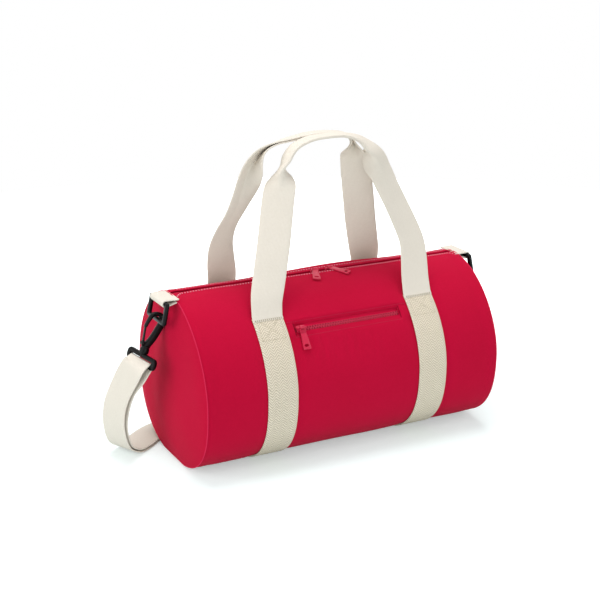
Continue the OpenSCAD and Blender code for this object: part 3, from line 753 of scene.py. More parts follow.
def weave_group(weave: Weave) -> bpy.types.NodeTree:
    """Builds or finds the node group that draws a weave.

    Args:
        weave: Which weave.

    Returns:
        A group that takes flat places and thread sizes, and puts out a height and a mask of the
        gaps, where the cloth paints shade.
    """
    name = f"weave_{weave.value}"
    if name in bpy.data.node_groups:
        return bpy.data.node_groups[name]
    shader, enter, leave = new_group(name, ("Across", "Along"), ("Height", "Gaps"))
    place = enter.outputs["Place"]
    split = shader.node("SeparateXYZ", {0: place})
    wobble = shader.times(shader.math("SUBTRACT", shader.noise(place, 160, 2), 0.5), 0.7)
    u, v = (
        shader.plus(shader.math("DIVIDE", split.outputs[k], enter.outputs[word]), wobble)
        for k, word in enumerate(("Across", "Along"))
    )

    def wave(value: Socket, turn: float = math.pi) -> Socket:
        """Returns the sine of value times turn."""
        return shader.math("SINE", shader.times(value, turn))

    def size(value: Socket) -> Socket:
        """Returns value without its sign."""
        return shader.math("ABSOLUTE", value)

    def gap(value: Socket, power: float) -> Socket:
        """Returns a mask that is 1 where value is 0."""
        return shader.math("SUBTRACT", 1.0, shader.math("POWER", value, power))

    if weave is Weave.PLAIN:
        warp, weft = wave(u), wave(v)
        height = shader.plus(shader.times(shader.times(warp, weft), 0.5), 0.5)
        gaps = gap(shader.times(size(warp), size(weft)), 0.4)
    elif weave is Weave.HERRINGBONE:
        ridge = size(wave(shader.plus(v, shader.math("PINGPONG", u, 1.5))))
        height = shader.plus(shader.times(ridge, 0.75), shader.times(wave(u, math.tau), 0.12))
        gaps = gap(ridge, 0.6)
    else:
        rib, pick = size(wave(u)), size(wave(v))
        height = shader.plus(shader.times(rib, 0.6), shader.times(pick, 0.4))
        gaps = gap(shader.times(rib, pick), 0.4)
    shader.feed(leave.inputs["Height"], height)
    shader.feed(leave.inputs["Gaps"], gaps)
    return shader.tree


def cloud_group() -> bpy.types.NodeTree:
    """Builds or finds the group that puts out large and small uneven patches."""
    name = "uneven_patches"
    if name in bpy.data.node_groups:
        return bpy.data.node_groups[name]
    shader, enter, leave = new_group(name, (), ("Large", "Small"))
    for word, scale, detail in (("Large", 14, 3), ("Small", 420, 4)):
        shader.feed(leave.inputs[word], shader.noise(enter.outputs["Place"], scale, detail))
    return shader.tree


@dataclass(frozen=True)
class Finish:
    """What every finish has: a name, a base colour and a way to paint its material."""

    name: str
    base: Colour

    def material(self) -> bpy.types.Material:
        """Builds or finds the finish's material."""
        if self.name in bpy.data.materials:
            return bpy.data.materials[self.name]
        made, shader = new_material(self.name)
        where = shader.node("TexCoord").outputs
        patches = shader.node("Group", node_tree=cloud_group())
        shader.feed(patches.inputs["Place"], where["Object"])
        large, small = patches.outputs
        sockets, relief = self.paint(shader, where["UV"], large, small)
        raised = shader.node("Bump", relief)
        body = shader.node("BsdfPrincipled", {**sockets, "Normal": raised.outputs["Normal"]})
        shader.node("OutputMaterial", {"Surface": body.outputs[0]})
        return made

    def paint(
        self, shader: Shader, flat: Socket, large: Socket, small: Socket
    ) -> tuple[dict[str, object], dict[str, object]]:
        """Adds the finish's own nodes.

        Args:
            shader: The material's tree.
            flat: Flat places on the piece.
            large: Large uneven patches.
            small: Small uneven patches.

        Returns:
            What goes into the Principled node, and what goes into the Bump node.
        """
        raise NotImplementedError


PASSED_LIGHT = colour(222, 208, 205)


@dataclass(frozen=True)
class ClothFinish(Finish):
    """A woven cloth: its colours, weave and surface."""

    shade: Colour
    light: Colour
    weave: Weave
    across: float
    along: float
    depth: float
    rough: float = 0.82
    sheen: float = 0.01
    bounce: float = 0.0
    contrast: float = 0.5

    def paint(
        self, shader: Shader, flat: Socket, large: Socket, small: Socket
    ) -> tuple[dict[str, object], dict[str, object]]:
        """Tones the cloth by patches, and paints shade into the gaps of its weave."""
        weave = shader.node("Group", node_tree=weave_group(self.weave))
        for word, value in (("Place", flat), ("Across", self.across), ("Along", self.along)):
            shader.feed(weave.inputs[word], value)
        toned = shader.mix(shader.times(large, 0.5), self.base, self.light)
        fuzzed = shader.mix(shader.times(small, 0.35), toned, self.shade)
        # Painted shade: the weave's gaps are darkened towards the shade colour, as far as contrast
        # says.
        gaps = shader.times(weave.outputs["Gaps"], self.contrast)
        gap_shaded = shader.mix(gaps, fuzzed, self.shade)
        if self.bounce:
            # Light that the cloth passes on to its neighbours is less coloured
            lit = shader.node("LightPath").outputs["Is Diffuse Ray"]
            gap_shaded = shader.mix(shader.times(lit, self.bounce), gap_shaded, PASSED_LIGHT)
        sockets = {
            "Base Color": gap_shaded,
            "Roughness": shader.plus(self.rough, shader.times(small, 0.12)),
            "Sheen Weight": self.sheen,
            "Sheen Roughness": 0.5,
            "Specular IOR Level": 0.04,
        }
        raised = shader.plus(weave.outputs["Height"], shader.times(small, 0.5))
        return sockets, {"Strength": 0.6, "Distance": self.depth, "Height": raised}


@dataclass(frozen=True)
class PlasticFinish(Finish):
    """A moulded plastic with fine scuffs and large lighter patches, which on the teeth are painted
    glints.
    """

    worn: Colour
    rough: float
    coat: float
    gloss: float

    def paint(
        self, shader: Shader, flat: Socket, large: Socket, small: Socket
    ) -> tuple[dict[str, object], dict[str, object]]:
        """Lightens the plastic in large patches, painted glints on the teeth, and scuffs it in
        small ones.
        """
        sockets = {
            "Base Color": shader.mix(shader.times(large, 0.4), self.base, self.worn),
            "Roughness": shader.plus(self.rough, shader.times(small, 0.16)),
            "Specular IOR Level": self.gloss,
            "Coat Weight": self.coat,
            "Coat Roughness": 0.15,
        }
        return sockets, {"Strength": 0.15, "Distance": 0.1 * MM, "Height": small}


def cloth(
    name: str,
    colours: Sequence[tuple[int, int, int]],
    weave: Weave = Weave.RIBBED,
    sizes: tuple[float, float, float] = (0.3, 0.3, 0.04),
    **more: float,
) -> ClothFinish:
    """Describes a cloth, or by itself a sewing thread.

    Args:
        name: The finish's name.
        colours: Its own colour, the darker one painted as shade in its weave's gaps, which also
            tones small patches, and the one of light patches.
        weave: How its threads cross.
        sizes: Millimetres across and along one thread, and depth of the weave.
        **more: Other fields of the finish.

    Returns:
        The cloth's finish.
    """
    base, shade, light = (colour(*c) for c in colours)
    return ClothFinish(name, base, shade, light, weave, *(s * MM for s in sizes), **more)


@dataclass(frozen=True)
class Finishes:
    """All the finishes of the bag."""

    canvas: Finish = cloth(
        "canvas", ((194, 12, 53), (160, 6, 40), (208, 14, 66)),
        Weave.PLAIN, (0.55, 0.55, 0.12), sheen=0.03, bounce=0.85,
    )
    binding: Finish = cloth(
        "binding", ((150, 16, 44), (110, 10, 30), (168, 26, 56)), Weave.RIBBED, (0.8, 1.0, 0.15)
    )
    band: Finish = cloth(
        "band_webbing", ((244, 233, 214), (150, 137, 112), (247, 238, 221)),
        Weave.HERRINGBONE, (3.2, 3.2, 0.55), contrast=0.95,
    )
    strap: Finish = cloth(
        "webbing", ((230, 223, 212), (203, 194, 179), (237, 231, 222)),
        Weave.RIBBED, (1.5, 1.0, 0.2),
    )
    # The tape is a brighter red than the canvas: painted light that offsets the shade in the zips'
    # recesses.
    tape: Finish = cloth(
        "tape_cloth", ((212, 20, 64), (178, 12, 48), (222, 24, 74)),
        Weave.RIBBED, (0.7, 0.7, 0.08),
    )
    lining: Finish = cloth(
        "lining", ((170, 42, 62), (132, 28, 46), (184, 58, 78)), Weave.PLAIN, (0.4, 0.4, 0.06)
    )
    # The end seam's lighter pink is a painted highlight along the turned edge of the cloth.
    seam: Finish = cloth(
        "end_seam", ((216, 44, 84), (188, 22, 60), (226, 66, 102)), Weave.RIBBED, (0.5, 0.5, 0.06)
    )
    thread: Finish = cloth("pale_thread", ((240, 178, 192), (216, 120, 144), (246, 200, 210)))
    red_thread: Finish = cloth("red_thread", ((206, 60, 92), (170, 30, 60), (216, 84, 110)))
    # The box thread is a darker beige than the band: painted shade along the stitch lines.
    box_thread: Finish = cloth("box_thread", ((204, 195, 174), (180, 170, 147), (212, 204, 186)))
    # The bar tacks' thread is real, and its dark red also paints the shade of the gap at each end
    # of the pocket's window.
    dark_thread: Finish = cloth("dark_thread", ((128, 10, 36), (104, 6, 26), (144, 16, 44)))
    tack_thread: Finish = cloth(
        "tack_thread", ((170, 160, 132), (146, 136, 110), (182, 172, 146))
    )
    black: Finish = PlasticFinish(
        "moulded_black", colour(4, 4, 5), colour(12, 12, 13), 0.28, 0.06, 0.1
    )
    red: Finish = PlasticFinish(
        "red_plastic", colour(196, 18, 60), colour(206, 40, 80), 0.3, 0.1, 0.3
    )
    # The teeth's lighter colour, laid on in large patches, is a painted glint.
    teeth: Finish = PlasticFinish(
        "teeth", colour(200, 20, 62), colour(216, 76, 108), 0.3, 0.1, 0.3
    )


FINISH = Finishes()
THREAD_RADIUS = 0.35 * MM


def dress(
    piece: Piece,
    finish: Finish,
    body: str | None = None,
    nodes: Iterable[str] = (),
    angle: float = 40,
) -> None:
    """Gives a finished piece its material, shading, body and CAD nodes.

    Args:
        piece: The piece.
        finish: Its finish.
        body: The CAD body it rides on, or None to leave it unattached.
        nodes: CAD nodes it stands for.
        angle: Edges sharper than this stay sharp.
    """
    piece.data.materials.clear()
    piece.data.materials.append(finish.material())
    smooth_faces(piece, angle)
    if body is not None:
        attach(piece, body)
    if nodes:
        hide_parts(*nodes)
    LOG.info("%s: %d faces, %s", piece.name, len(piece.data.polygons), finish.name)


def stitches(
    name: str,
    line: Array,
    ups: Array,
    finish: Finish,
    pitch: float = 3.2 * MM,
    share: float = 0.72,
    radius: float = THREAD_RADIUS,
    proud: float = THREAD_RADIUS,
) -> Piece:
    """Sews a row of stitches along a line.

    Args:
        name: The row's name.
        line: Points of the line on the cloth.
        ups: Direction out of the cloth at each point.
        finish: The thread.
        pitch: Distance between one stitch and the next.
        share: Share of the pitch that the thread shows.
        radius: Half the width of a stitch.
        proud: How far a stitch stands out of the cloth.

    Returns:
        The row as one mesh, without a body yet.
    """
    bpy.ops.mesh.primitive_ico_sphere_add(subdivisions=1, radius=1.0)
    stitch = bpy.context.object
    lengths = run_lengths(line)
    count = max(int(lengths[-1] / pitch), 1)
    marks = (np.arange(count) + 0.5) * lengths[-1] / count
    sizes = np.array([pitch * share / 2, radius * 1.1, proud * 0.9])

    def at(rows: Array, mark: float) -> Array:
        """Returns the row at a length along the line."""
        return np.array([np.interp(mark, lengths, column) for column in rows.T])

    frames = []
    for mark in marks:
        a, b = (at(line, mark + step) for step in (-pitch * 0.3, pitch * 0.3))
        axes = axes_along(b - a, at(ups, mark))
        frames.append(((a + b) / 2 + axes[2] * proud * 0.25, axes * sizes[:, None]))
    row = join_copies(name, stitch, frames)
    row.data.materials.append(finish.material())
    return row


# The barrel's outline


@dataclass(frozen=True)
class BarrelForm:
    """Sizes of the canvas barrel and the place of any point on it."""

    length: float = 386 * MM
    width: float = 207 * MM
    height: float = 203.6 * MM
    belly: float = 95.7 * MM
    bulge: float = 12 * MM
    press: float = 1 * MM
    base_power: float = 2.47
    crown_power: float = 1.82
    flap_gap: float = 5.8 * MM
    band_x: float = 100.3 * MM
    web_w: float = 38 * MM
    web_t: float = 1.8 * MM
    web_gap: float = 0.15 * MM
    floor_gap: float = 0.1 * MM
    stitch_angle: float = 39.0
    samples: int = 3600

    def rim(self, angle: Array, out: float = 0.0, low: float = 0.0) -> Array:
        """Section of the barrel.

        Args:
            angle: Degrees from the bottom, with the front at 90 and the top at 180.
            out: Distance outside the canvas.
            low: The lowest height that is kept.

        Returns:
            Places as rows of y and z.
        """
        a = np.radians(angle)
        lower = np.cos(a) > 0
        power = np.where(lower, 2 / self.base_power, 2 / self.crown_power)
        reach = np.where(lower, self.belly + self.press, self.height - self.belly) + out
        y = -(self.width / 2 + out) * np.sign(np.sin(a)) * np.abs(np.sin(a)) ** power
        z = self.belly - reach * np.sign(np.cos(a)) * np.abs(np.cos(a)) ** power
        return np.stack([y, np.maximum(z, low)], axis=-1)

    def off_band(self, x: Array) -> Array:
        """Returns how far each x lies outside the nearer band."""
        return np.abs(np.abs(x) - self.band_x) - self.web_w / 2

    def crown_angle(self, y: float) -> float:
        """Returns the angle at which the upper half lies y from the middle plane."""
        return 180 - math.degrees(math.asin((y / (self.width / 2)) ** (self.crown_power / 2)))


class Girth:
    """The barrel's section by its length along the cloth, from the top round the back."""

    def __init__(self, form: BarrelForm) -> None:
        """Measures the section."""
        self.angles = np.linspace(-180, 180, form.samples + 1)
        self.points = form.rim(self.angles)
        step = np.linalg.norm(np.diff(self.points, axis=0), axis=1)
        self.lengths = np.concatenate([[0.0], np.cumsum(step)])
        ways = np.gradient(self.points, axis=0)
        for _ in range(60):
            ways[1:-1] = (ways[:-2] + ways[1:-1] * 2 + ways[2:]) / 4
        ways /= np.linalg.norm(ways, axis=1, keepdims=True) + 1e-12
        self.normals = np.stack([-ways[:, 1], ways[:, 0]], axis=1)

    def arc(self, angle: float) -> float:
        """Returns the length along the cloth at an angle."""
        return np.interp(angle, self.angles, self.lengths)

    def stitch_line(self, way: int) -> float:
        """Returns the length at a handle's stitch line, with way 1 for the front or -1."""
        return self.arc(way * (180 - FORM.stitch_angle))

    def at(self, x: Array, arc: Array, out: Array | float = 0.0) -> Array:
        """Places on or over the canvas.

        Args:
            x: Places along the barrel.
            arc: Lengths along the cloth.
            out: Distances outside it.

        Returns:
            Points, one for each x and arc.
        """
        y = np.interp(arc, self.lengths, self.points[:, 0])
        z = np.interp(arc, self.lengths, self.points[:, 1])
        n = self.normal(arc)
        return np.stack([x + 0 * y, y + n[..., 1] * out, z + n[..., 2] * out], axis=-1)

    def reach(self, arc: Array) -> Array:
        """Returns how far arc lies from the nearer edge of the zip's mouth."""
        return np.minimum(arc, self.lengths[-1] - arc)

    def normal(self, arc: Array) -> Array:
        """Returns the outward direction at lengths along the cloth."""
        ny = np.interp(arc, self.lengths, self.normals[:, 0])
        nz = np.interp(arc, self.lengths, self.normals[:, 1])
        size = np.sqrt(ny * ny + nz * nz)
        return np.stack([0 * ny, ny / size, nz / size], axis=-1)


FORM = BarrelForm()
GIRTH = Girth(FORM)
MIDDLE = np.array([0.0, 0.0, FORM.belly])
ALONG, ACROSS = np.eye(3)[:2]
MIRROR = np.array([-1.0, 1.0, 1.0])


@dataclass
class CanvasBarrel:
    """The canvas of the barrel, with its zip mouth, pocket window and creases."""

    cloth: float = 1.8 * MM
    window: tuple[float, float] = (-69.5 * MM, 67.5 * MM)
    window_angle: float = 131.0
    window_half: float = 4.8 * MM
    pocket_seam: float = 4.0 * MM
    lips: float = 2.9 * MM
    back_hump: float = 3.8 * MM
    puff: float = 0.9 * MM
    hem: float = 0.3 * MM
    gather: float = 1.6 * MM
    crease: float = 0.55 * MM
    seam_roll: float = 0.5 * MM
    band_dent: float = 0.25 * MM
    band_lift: float = 1.85 * MM
    flap_rise: float = 0.7 * MM
    flap_dent: float = 0.5 * MM
    bead: float = 1.1 * MM
    sag: float = 2.0 * MM
    step: float = 3.2 * MM

    @property
    def middle(self) -> float:
        """Length along the cloth at the middle of the pocket's window."""
        return GIRTH.arc(self.window_angle)

    def relief(self, x: Array, arc: Array) -> Array:
        """Height of the canvas over its plain form.

        Args:
            x: Places along the barrel.
            arc: Lengths along the cloth.

        Returns:
            Heights in metres, outwards.
        """
        end = FORM.length / 2 - np.abs(x)
        height = self.seam_roll * (bump(end - 7 * MM, 5 * MM) - bump(end, 2 * MM))
        band = FORM.off_band(x)
        under = smooth(1 - band / (12 * MM))
        reach = GIRTH.reach(arc)
        # The pullers lie on the crown, so the canvas stays low there
        free = (1 - under) * smooth((reach - 26 * MM) / (25 * MM))
        height = height + self.puff * free * smooth(end / (30 * MM))
        height = height - self.band_dent * smooth(1 - band / (3 * MM))
        turned_in = smooth(1 - (reach - 8.6 * MM) / (0.8 * MM))
        height = height + self.hem * turned_in * smooth(end / (9 * MM))
        within = smooth((self.window[1] + 3 * MM - x) / (3 * MM)) * smooth(
            (x - self.window[0] + 3 * MM) / (3 * MM)
        )
        off = np.abs(arc - self.middle)
        height = height - self.lips * within * smooth((11.5 * MM - off) / (6.6 * MM))
        # Above the window the flap's fold stands up, and below it the cloth gathers
        over = arc - (self.middle + self.window_half + self.pocket_seam)
        between = smooth((FORM.band_x - FORM.web_w / 2 + 4 * MM - np.abs(x)) / (4 * MM))
        fold = smooth(over / (1.4 * MM)) * smooth(1 - over / (22 * MM))
        height = height + between * self.flap_rise * fold
        height = height - between * self.flap_dent * bump(over + 0.8 * MM, 1.4 * MM)
        below = self.middle - self.window_half - arc
        gathers = np.minimum(wave_sum(x, below * 0.12, 33, 12 * MM, 6) - 0.5, 0.0)
        gathers = (gathers * self.gather - self.gather / 2) * between
        gathers = gathers * smooth(below / (6 * MM)) * smooth(1 - below / (60 * MM))
        creases = wave_sum(x, arc * 0.55, 21, 95 * MM) * self.crease
        return height + gathers + creases * free * smooth(end / (20 * MM))

    def low(self, x: Array) -> Array:
        """Lowest height of the canvas, which the bands lift off the floor."""
        return FORM.floor_gap + self.band_lift * smooth(1 - FORM.off_band(x) / (7 * MM))

    def surface(self, x: Array, arc: Array, out: float = 0.0) -> Array:
        """Places on the dressed canvas.

        Args:
            x: Places along the barrel.
            arc: Lengths along the cloth.
            out: Distance outside the canvas.

        Returns:
            Points on the canvas with its relief and the waves of its flaps.
        """
        x, arc = np.broadcast_arrays(np.asarray(x, float), np.asarray(arc, float))
        reach = GIRTH.reach(arc)
        front = arc > GIRTH.lengths[-1] / 2
        wave = np.where(
            front, wave_sum(x, 0 * x, 3, 110 * MM, 5), wave_sum(x, 0 * x, 8, 130 * MM, 5)
        )
        loose = smooth((FORM.length / 2 - np.abs(x)) / (16 * MM)) * smooth(
            1 - (reach - 4 * MM) / (18 * MM)
        )
        shift = np.where(front, -0.4, 0.4) * MM * wave * loose
        points = GIRTH.at(x, arc + shift, self.relief(x, arc) + out)
        points[..., 2] += loose * (0.1 + 0.25 * wave) * MM
        hump = self.back_hump * bump(x - 30 * MM, 85 * MM)
        hump = hump * smooth((reach - 3 * MM) / (11 * MM))
        hump = hump * smooth(1 - (reach - 16 * MM) / (42 * MM))
        sag = self.sag * loose * bump(x + 208 * MM, 30 * MM)
        points[..., 2] += np.where(front, -sag, hump)
        points[..., 2] = np.maximum(points[..., 2], self.low(x) + out)
        return points

    def lines(self) -> tuple[Array, Array]:
        """Places of the grid's columns and rows, with some on the window's edges."""
        half = FORM.length / 2
        stops = [-half, -half + 9 * MM, self.window[0], self.window[1], half - 9 * MM, half]
        columns = self.spread(stops)
        edge = FORM.crown_angle(FORM.flap_gap / 2)
        middle = self.middle
        first, last = GIRTH.arc(-edge), GIRTH.arc(edge)
        stops = [
            first, first + 9 * MM, middle - self.window_half, middle + self.window_half,
            middle + self.window_half + 8 * MM, last - 9 * MM, last,
        ]
        return columns, self.spread(stops)

    def spread(self, stops: Sequence[float]) -> Array:
        """Returns points a step apart that pass through all the stops."""
        made = [stops[0]]
        for a, b in zip(stops, stops[1:]):
            gap = self.step * (0.5 if b - a < 14 * MM else 1.0)
            count = max(int(round((b - a) / gap)), 2)
            made += list(np.linspace(a, b, count + 1)[1:])
        return np.array(made)

    def build(self) -> None:
        """Models the canvas, cuts the pocket window and sews its seams."""
        columns, rows = self.lines()
        x, arc = np.meshgrid(columns, rows)
        panel = lay_grid("canvas_barrel", self.surface(x, arc), np.stack([x, arc], axis=2))
        face_away(panel, MIDDLE)
        self.cut_window(panel)
        thicken(panel, self.cloth)
        round_edges(panel, 0.5 * MM, 50)
        dress(panel, FINISH.canvas, "bag", ["barrel_panel"], 60)
        self.sew()

    def cut_window(self, panel: Piece) -> None:
        """Takes out the faces of the pocket's window."""
        middle = self.middle
        low, high = (
            GIRTH.at(np.array(0.0), np.array(middle + d * self.window_half)) for d in (-1, 1)
        )

        def in_window(face: bpy.types.MeshPolygon) -> bool:
            """Says whether a face lies in the window."""
            x, y, z = face.center
            return self.window[0] < x < self.window[1] and y < 0 and low[2] < z < high[2]

        on_part_of(panel, "FACE", in_window, lambda: bpy.ops.mesh.delete(type="FACE"))

    def sew_row(
        self, name: str, x: Array, arc: Array | float, out: float, finish: Finish, *sizes: float
    ) -> None:
        """Sews a row of stitches on the canvas.

        Args:
            name: The row's name.
            x: Places along the barrel.
            arc: Lengths along the cloth.
            out: Distance outside the canvas.
            finish: The thread.
            *sizes: Pitch and further sizes of the stitches.
        """
        x, arc = np.broadcast_arrays(x, arc)
        row = stitches(name, self.surface(x, arc, out), GIRTH.normal(arc), finish, *sizes)
        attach(row, "bag")

    def sew(self) -> None:
        """Sews the rows beside the zip and round the pocket, and lays a ridge painted as a
        highlight along each end seam.
        """
        half = FORM.length / 2
        edge = FORM.crown_angle(FORM.flap_gap / 2)
        x = np.linspace(-half + 3 * MM, half - 3 * MM, 400)
        # Near the ends the row turns away from the zip, down to the seam
        veer = 9 * MM * smooth(1 - (half - np.abs(x)) / (17 * MM)) ** 2
        for word, way in (("front", 1), ("back", -1)):
            arc = GIRTH.arc(way * edge) - way * (4.2 * MM + veer)
            sizes = 3.5 * MM, 0.46, 1.0 * MM, 0.75 * MM
            self.sew_row(f"zip_topstitch_{word}", x, arc, 0.2 * MM, FINISH.thread, *sizes)
        rim = FORM.rim(np.linspace(-178, 178, 240), 0.1 * MM, 0.8 * MM)
        for side in Side:
            x_end = side.value * (half + 0.2 * MM)
            stations = [
                Station(np.array([x_end, y, z]), ALONG, self.bead, self.bead) for y, z in rim
            ]
            # The ridge's lighter pink is a painted highlight on the seam.
            ridge = bar(f"end_seam_{side.word}", stations, 0.5 * MM)
            dress(ridge, FINISH.seam, "bag")
        middle = self.middle
        above = middle + self.window_half + self.pocket_seam + 0.4 * MM
        below = middle - self.window_half - 4.8 * MM
        wide = np.linspace(-FORM.band_x + 21 * MM, FORM.band_x - 21 * MM, 110)
        long = np.linspace(self.window[0] - 3 * MM, self.window[1] + 3 * MM, 90)
        for word, x, arc in (("above", wide, above), ("below", long, below)):
            self.sew_row(
                f"pocket_stitch_{word}", x, arc, 0.1 * MM, FINISH.red_thread, 2.8 * MM
            )
        # Bar tacks at the window's ends, sewn in a dark thread that also paints the shade of the
        # gap there.
        arc = middle + np.linspace(-7.4, 7.4, 12) * MM
        for word, x_end in zip(("left", "right"), self.window):
            x = x_end + math.copysign(1.4 * MM, x_end)
            sizes = 0.9 * MM, 1.3, 0.6 * MM
            self.sew_row(f"pocket_tack_{word}", x, arc, 0.1 * MM, FINISH.dark_thread, *sizes)


@dataclass
class EndPanels:
    """The two swollen ends and the bound seams inside them."""

    cloth: float = 1.8 * MM
    dome_power: float = 0.8
    around: int = 168
    rings: int = 30
    binding_w: float = 9 * MM
    wall: float = 3 * MM
    folds: Table = ((40 * MM, 20 * MM, -1.8 * MM), (-12 * MM, 30 * MM, 1.4 * MM))
    ripple: float = 0.9 * MM

    def relief(self, y: Array, z: Array) -> Array:
        """Soft folds of the end panel, outwards from its dome."""
        lean = y + (z - 0.1) * 0.12
        fold = sum(height * bump(lean - at, reach) for at, reach, height in self.folds)
        return fold * smooth((z - 0.02) / 0.09) + self.ripple * wave_sum(y, z * 0.6, 5, 70 * MM)

    def build(self) -> None:
        """Models both ends."""
        for side in Side:
            self.build_end(side)
            self.build_binding(side)

    def build_end(self, side: Side) -> None:
        """Models one end as a shell from its rim to its middle."""
        angles = np.linspace(-180, 180, self.around + 1)
        rim = FORM.rim(angles, 0.0, FORM.floor_gap)
        # Rings lie closer near the seam, where the cloth turns over
        shares = 1 - np.linspace(0, 1, self.rings + 1) ** 1.5
        rows, uvs = [], []
        for share in shares:
            y = rim[:, 0] * share
            z = FORM.belly + (rim[:, 1] - FORM.belly) * share
            height = FORM.bulge * max(1 - share**2, 0) ** self.dome_power
            fade = smooth((1 - share) / 0.3)
            x = FORM.length / 2 + height + self.relief(y, z) * fade
            rows.append(np.stack([side.value * x, y, np.maximum(z, FORM.floor_gap)], axis=1))
            uvs.append(np.stack([y, z], axis=1))
        panel = lay_grid(f"end_canvas_{side.word}", np.array(rows), np.array(uvs), closed=True)
        face_away(panel, MIDDLE)
        thicken(panel, self.cloth)
        dress(panel, FINISH.canvas, "bag", [f"end_panel_{side.word}"], 60)

    def build_binding(self, side: Side) -> None:
        """Models the strip that binds an end seam on the inside."""
        reach = FORM.crown_angle(14 * MM)
        angles = np.linspace(-reach, reach, 150)
        rows, uvs = [], []
        for out, inset in ((0.0, 0.0), (0.6, 0.35), (0.6, 0.65), (0.0, 1.0)):
            rim = FORM.rim(angles, -self.wall - (0.2 + out) * MM, self.wall + 0.2 * MM)
            x = FORM.length / 2 - 2 * MM - inset * (self.binding_w - 2 * MM)
            rows.append(np.stack([side.value * x + 0 * angles, rim[:, 0], rim[:, 1]], axis=1))
            uvs.append(np.stack([0 * angles + inset * self.binding_w, angles * 1.8 * MM], axis=1))
        strip = lay_grid(f"bound_seam_{side.word}", np.array(rows), np.array(uvs))
        face_away(strip, MIDDLE)
        thicken(strip, 0.7 * MM)
        dress(strip, FINISH.binding, "bag", [f"seam_binding_{side.word}"])


@dataclass
class Bands:
    """The two webbing bands that wrap the barrel, with their sewn boxes."""

    box_drop: float = 26 * MM
    box_half: float = 14.5 * MM

    def build(self) -> None:
        """Models both bands."""
        for side in Side:
            self.build_band(side)
            for front in (True, False):
                self.sew_box(side, front)

    def build_band(self, side: Side) -> None:
        """Sweeps one band round the barrel's section."""
        x = np.array(side.value * FORM.band_x)
        stations = []
        for arc in np.linspace(GIRTH.stitch_line(-1), GIRTH.stitch_line(1), 180):
            place = GIRTH.at(x, arc, FORM.web_t / 2 + FORM.web_gap)
            place[2] = max(place[2], FORM.web_t / 2 + FORM.floor_gap)
            stations.append(Station(place, ALONG))
        band = webbing(f"webbing_band_{side.word}", stations)
        dress(band, FINISH.band, "bag", [f"band_{side.word}"])

    def sew_box(self, side: Side, front: bool) -> None:
        """Sews the crossed box that holds a handle's foot."""
        way = 1 if front else -1
        top = GIRTH.stitch_line(way) - way * 2.5 * MM
        low = top - way * self.box_drop
        x0, x1 = (side.value * FORM.band_x + d * self.box_half for d in (-1, 1))
        corners = ((x0, top), (x1, top), (x1, low), (x0, low), (x0, top), (x1, low))
        runs = [*zip(corners, corners[1:]), ((x1, top), (x0, low))]
        rows = []
        for a, b in runs:
            t = np.linspace(0, 1, 24)
            arc = a[1] + (b[1] - a[1]) * t
            line = GIRTH.at(a[0] + (b[0] - a[0]) * t, arc, FORM.web_t + 0.2 * MM)
            sizes = 2.6 * MM, 0.8, 0.45 * MM
            # The box thread's darker beige paints the shade along the stitch lines.
            rows.append(stitches("box", line, GIRTH.normal(arc), FINISH.box_thread, *sizes))
        box = joined(f"sewn_box_{side.word}_{'front' if front else 'back'}", rows)
        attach(box, "bag")


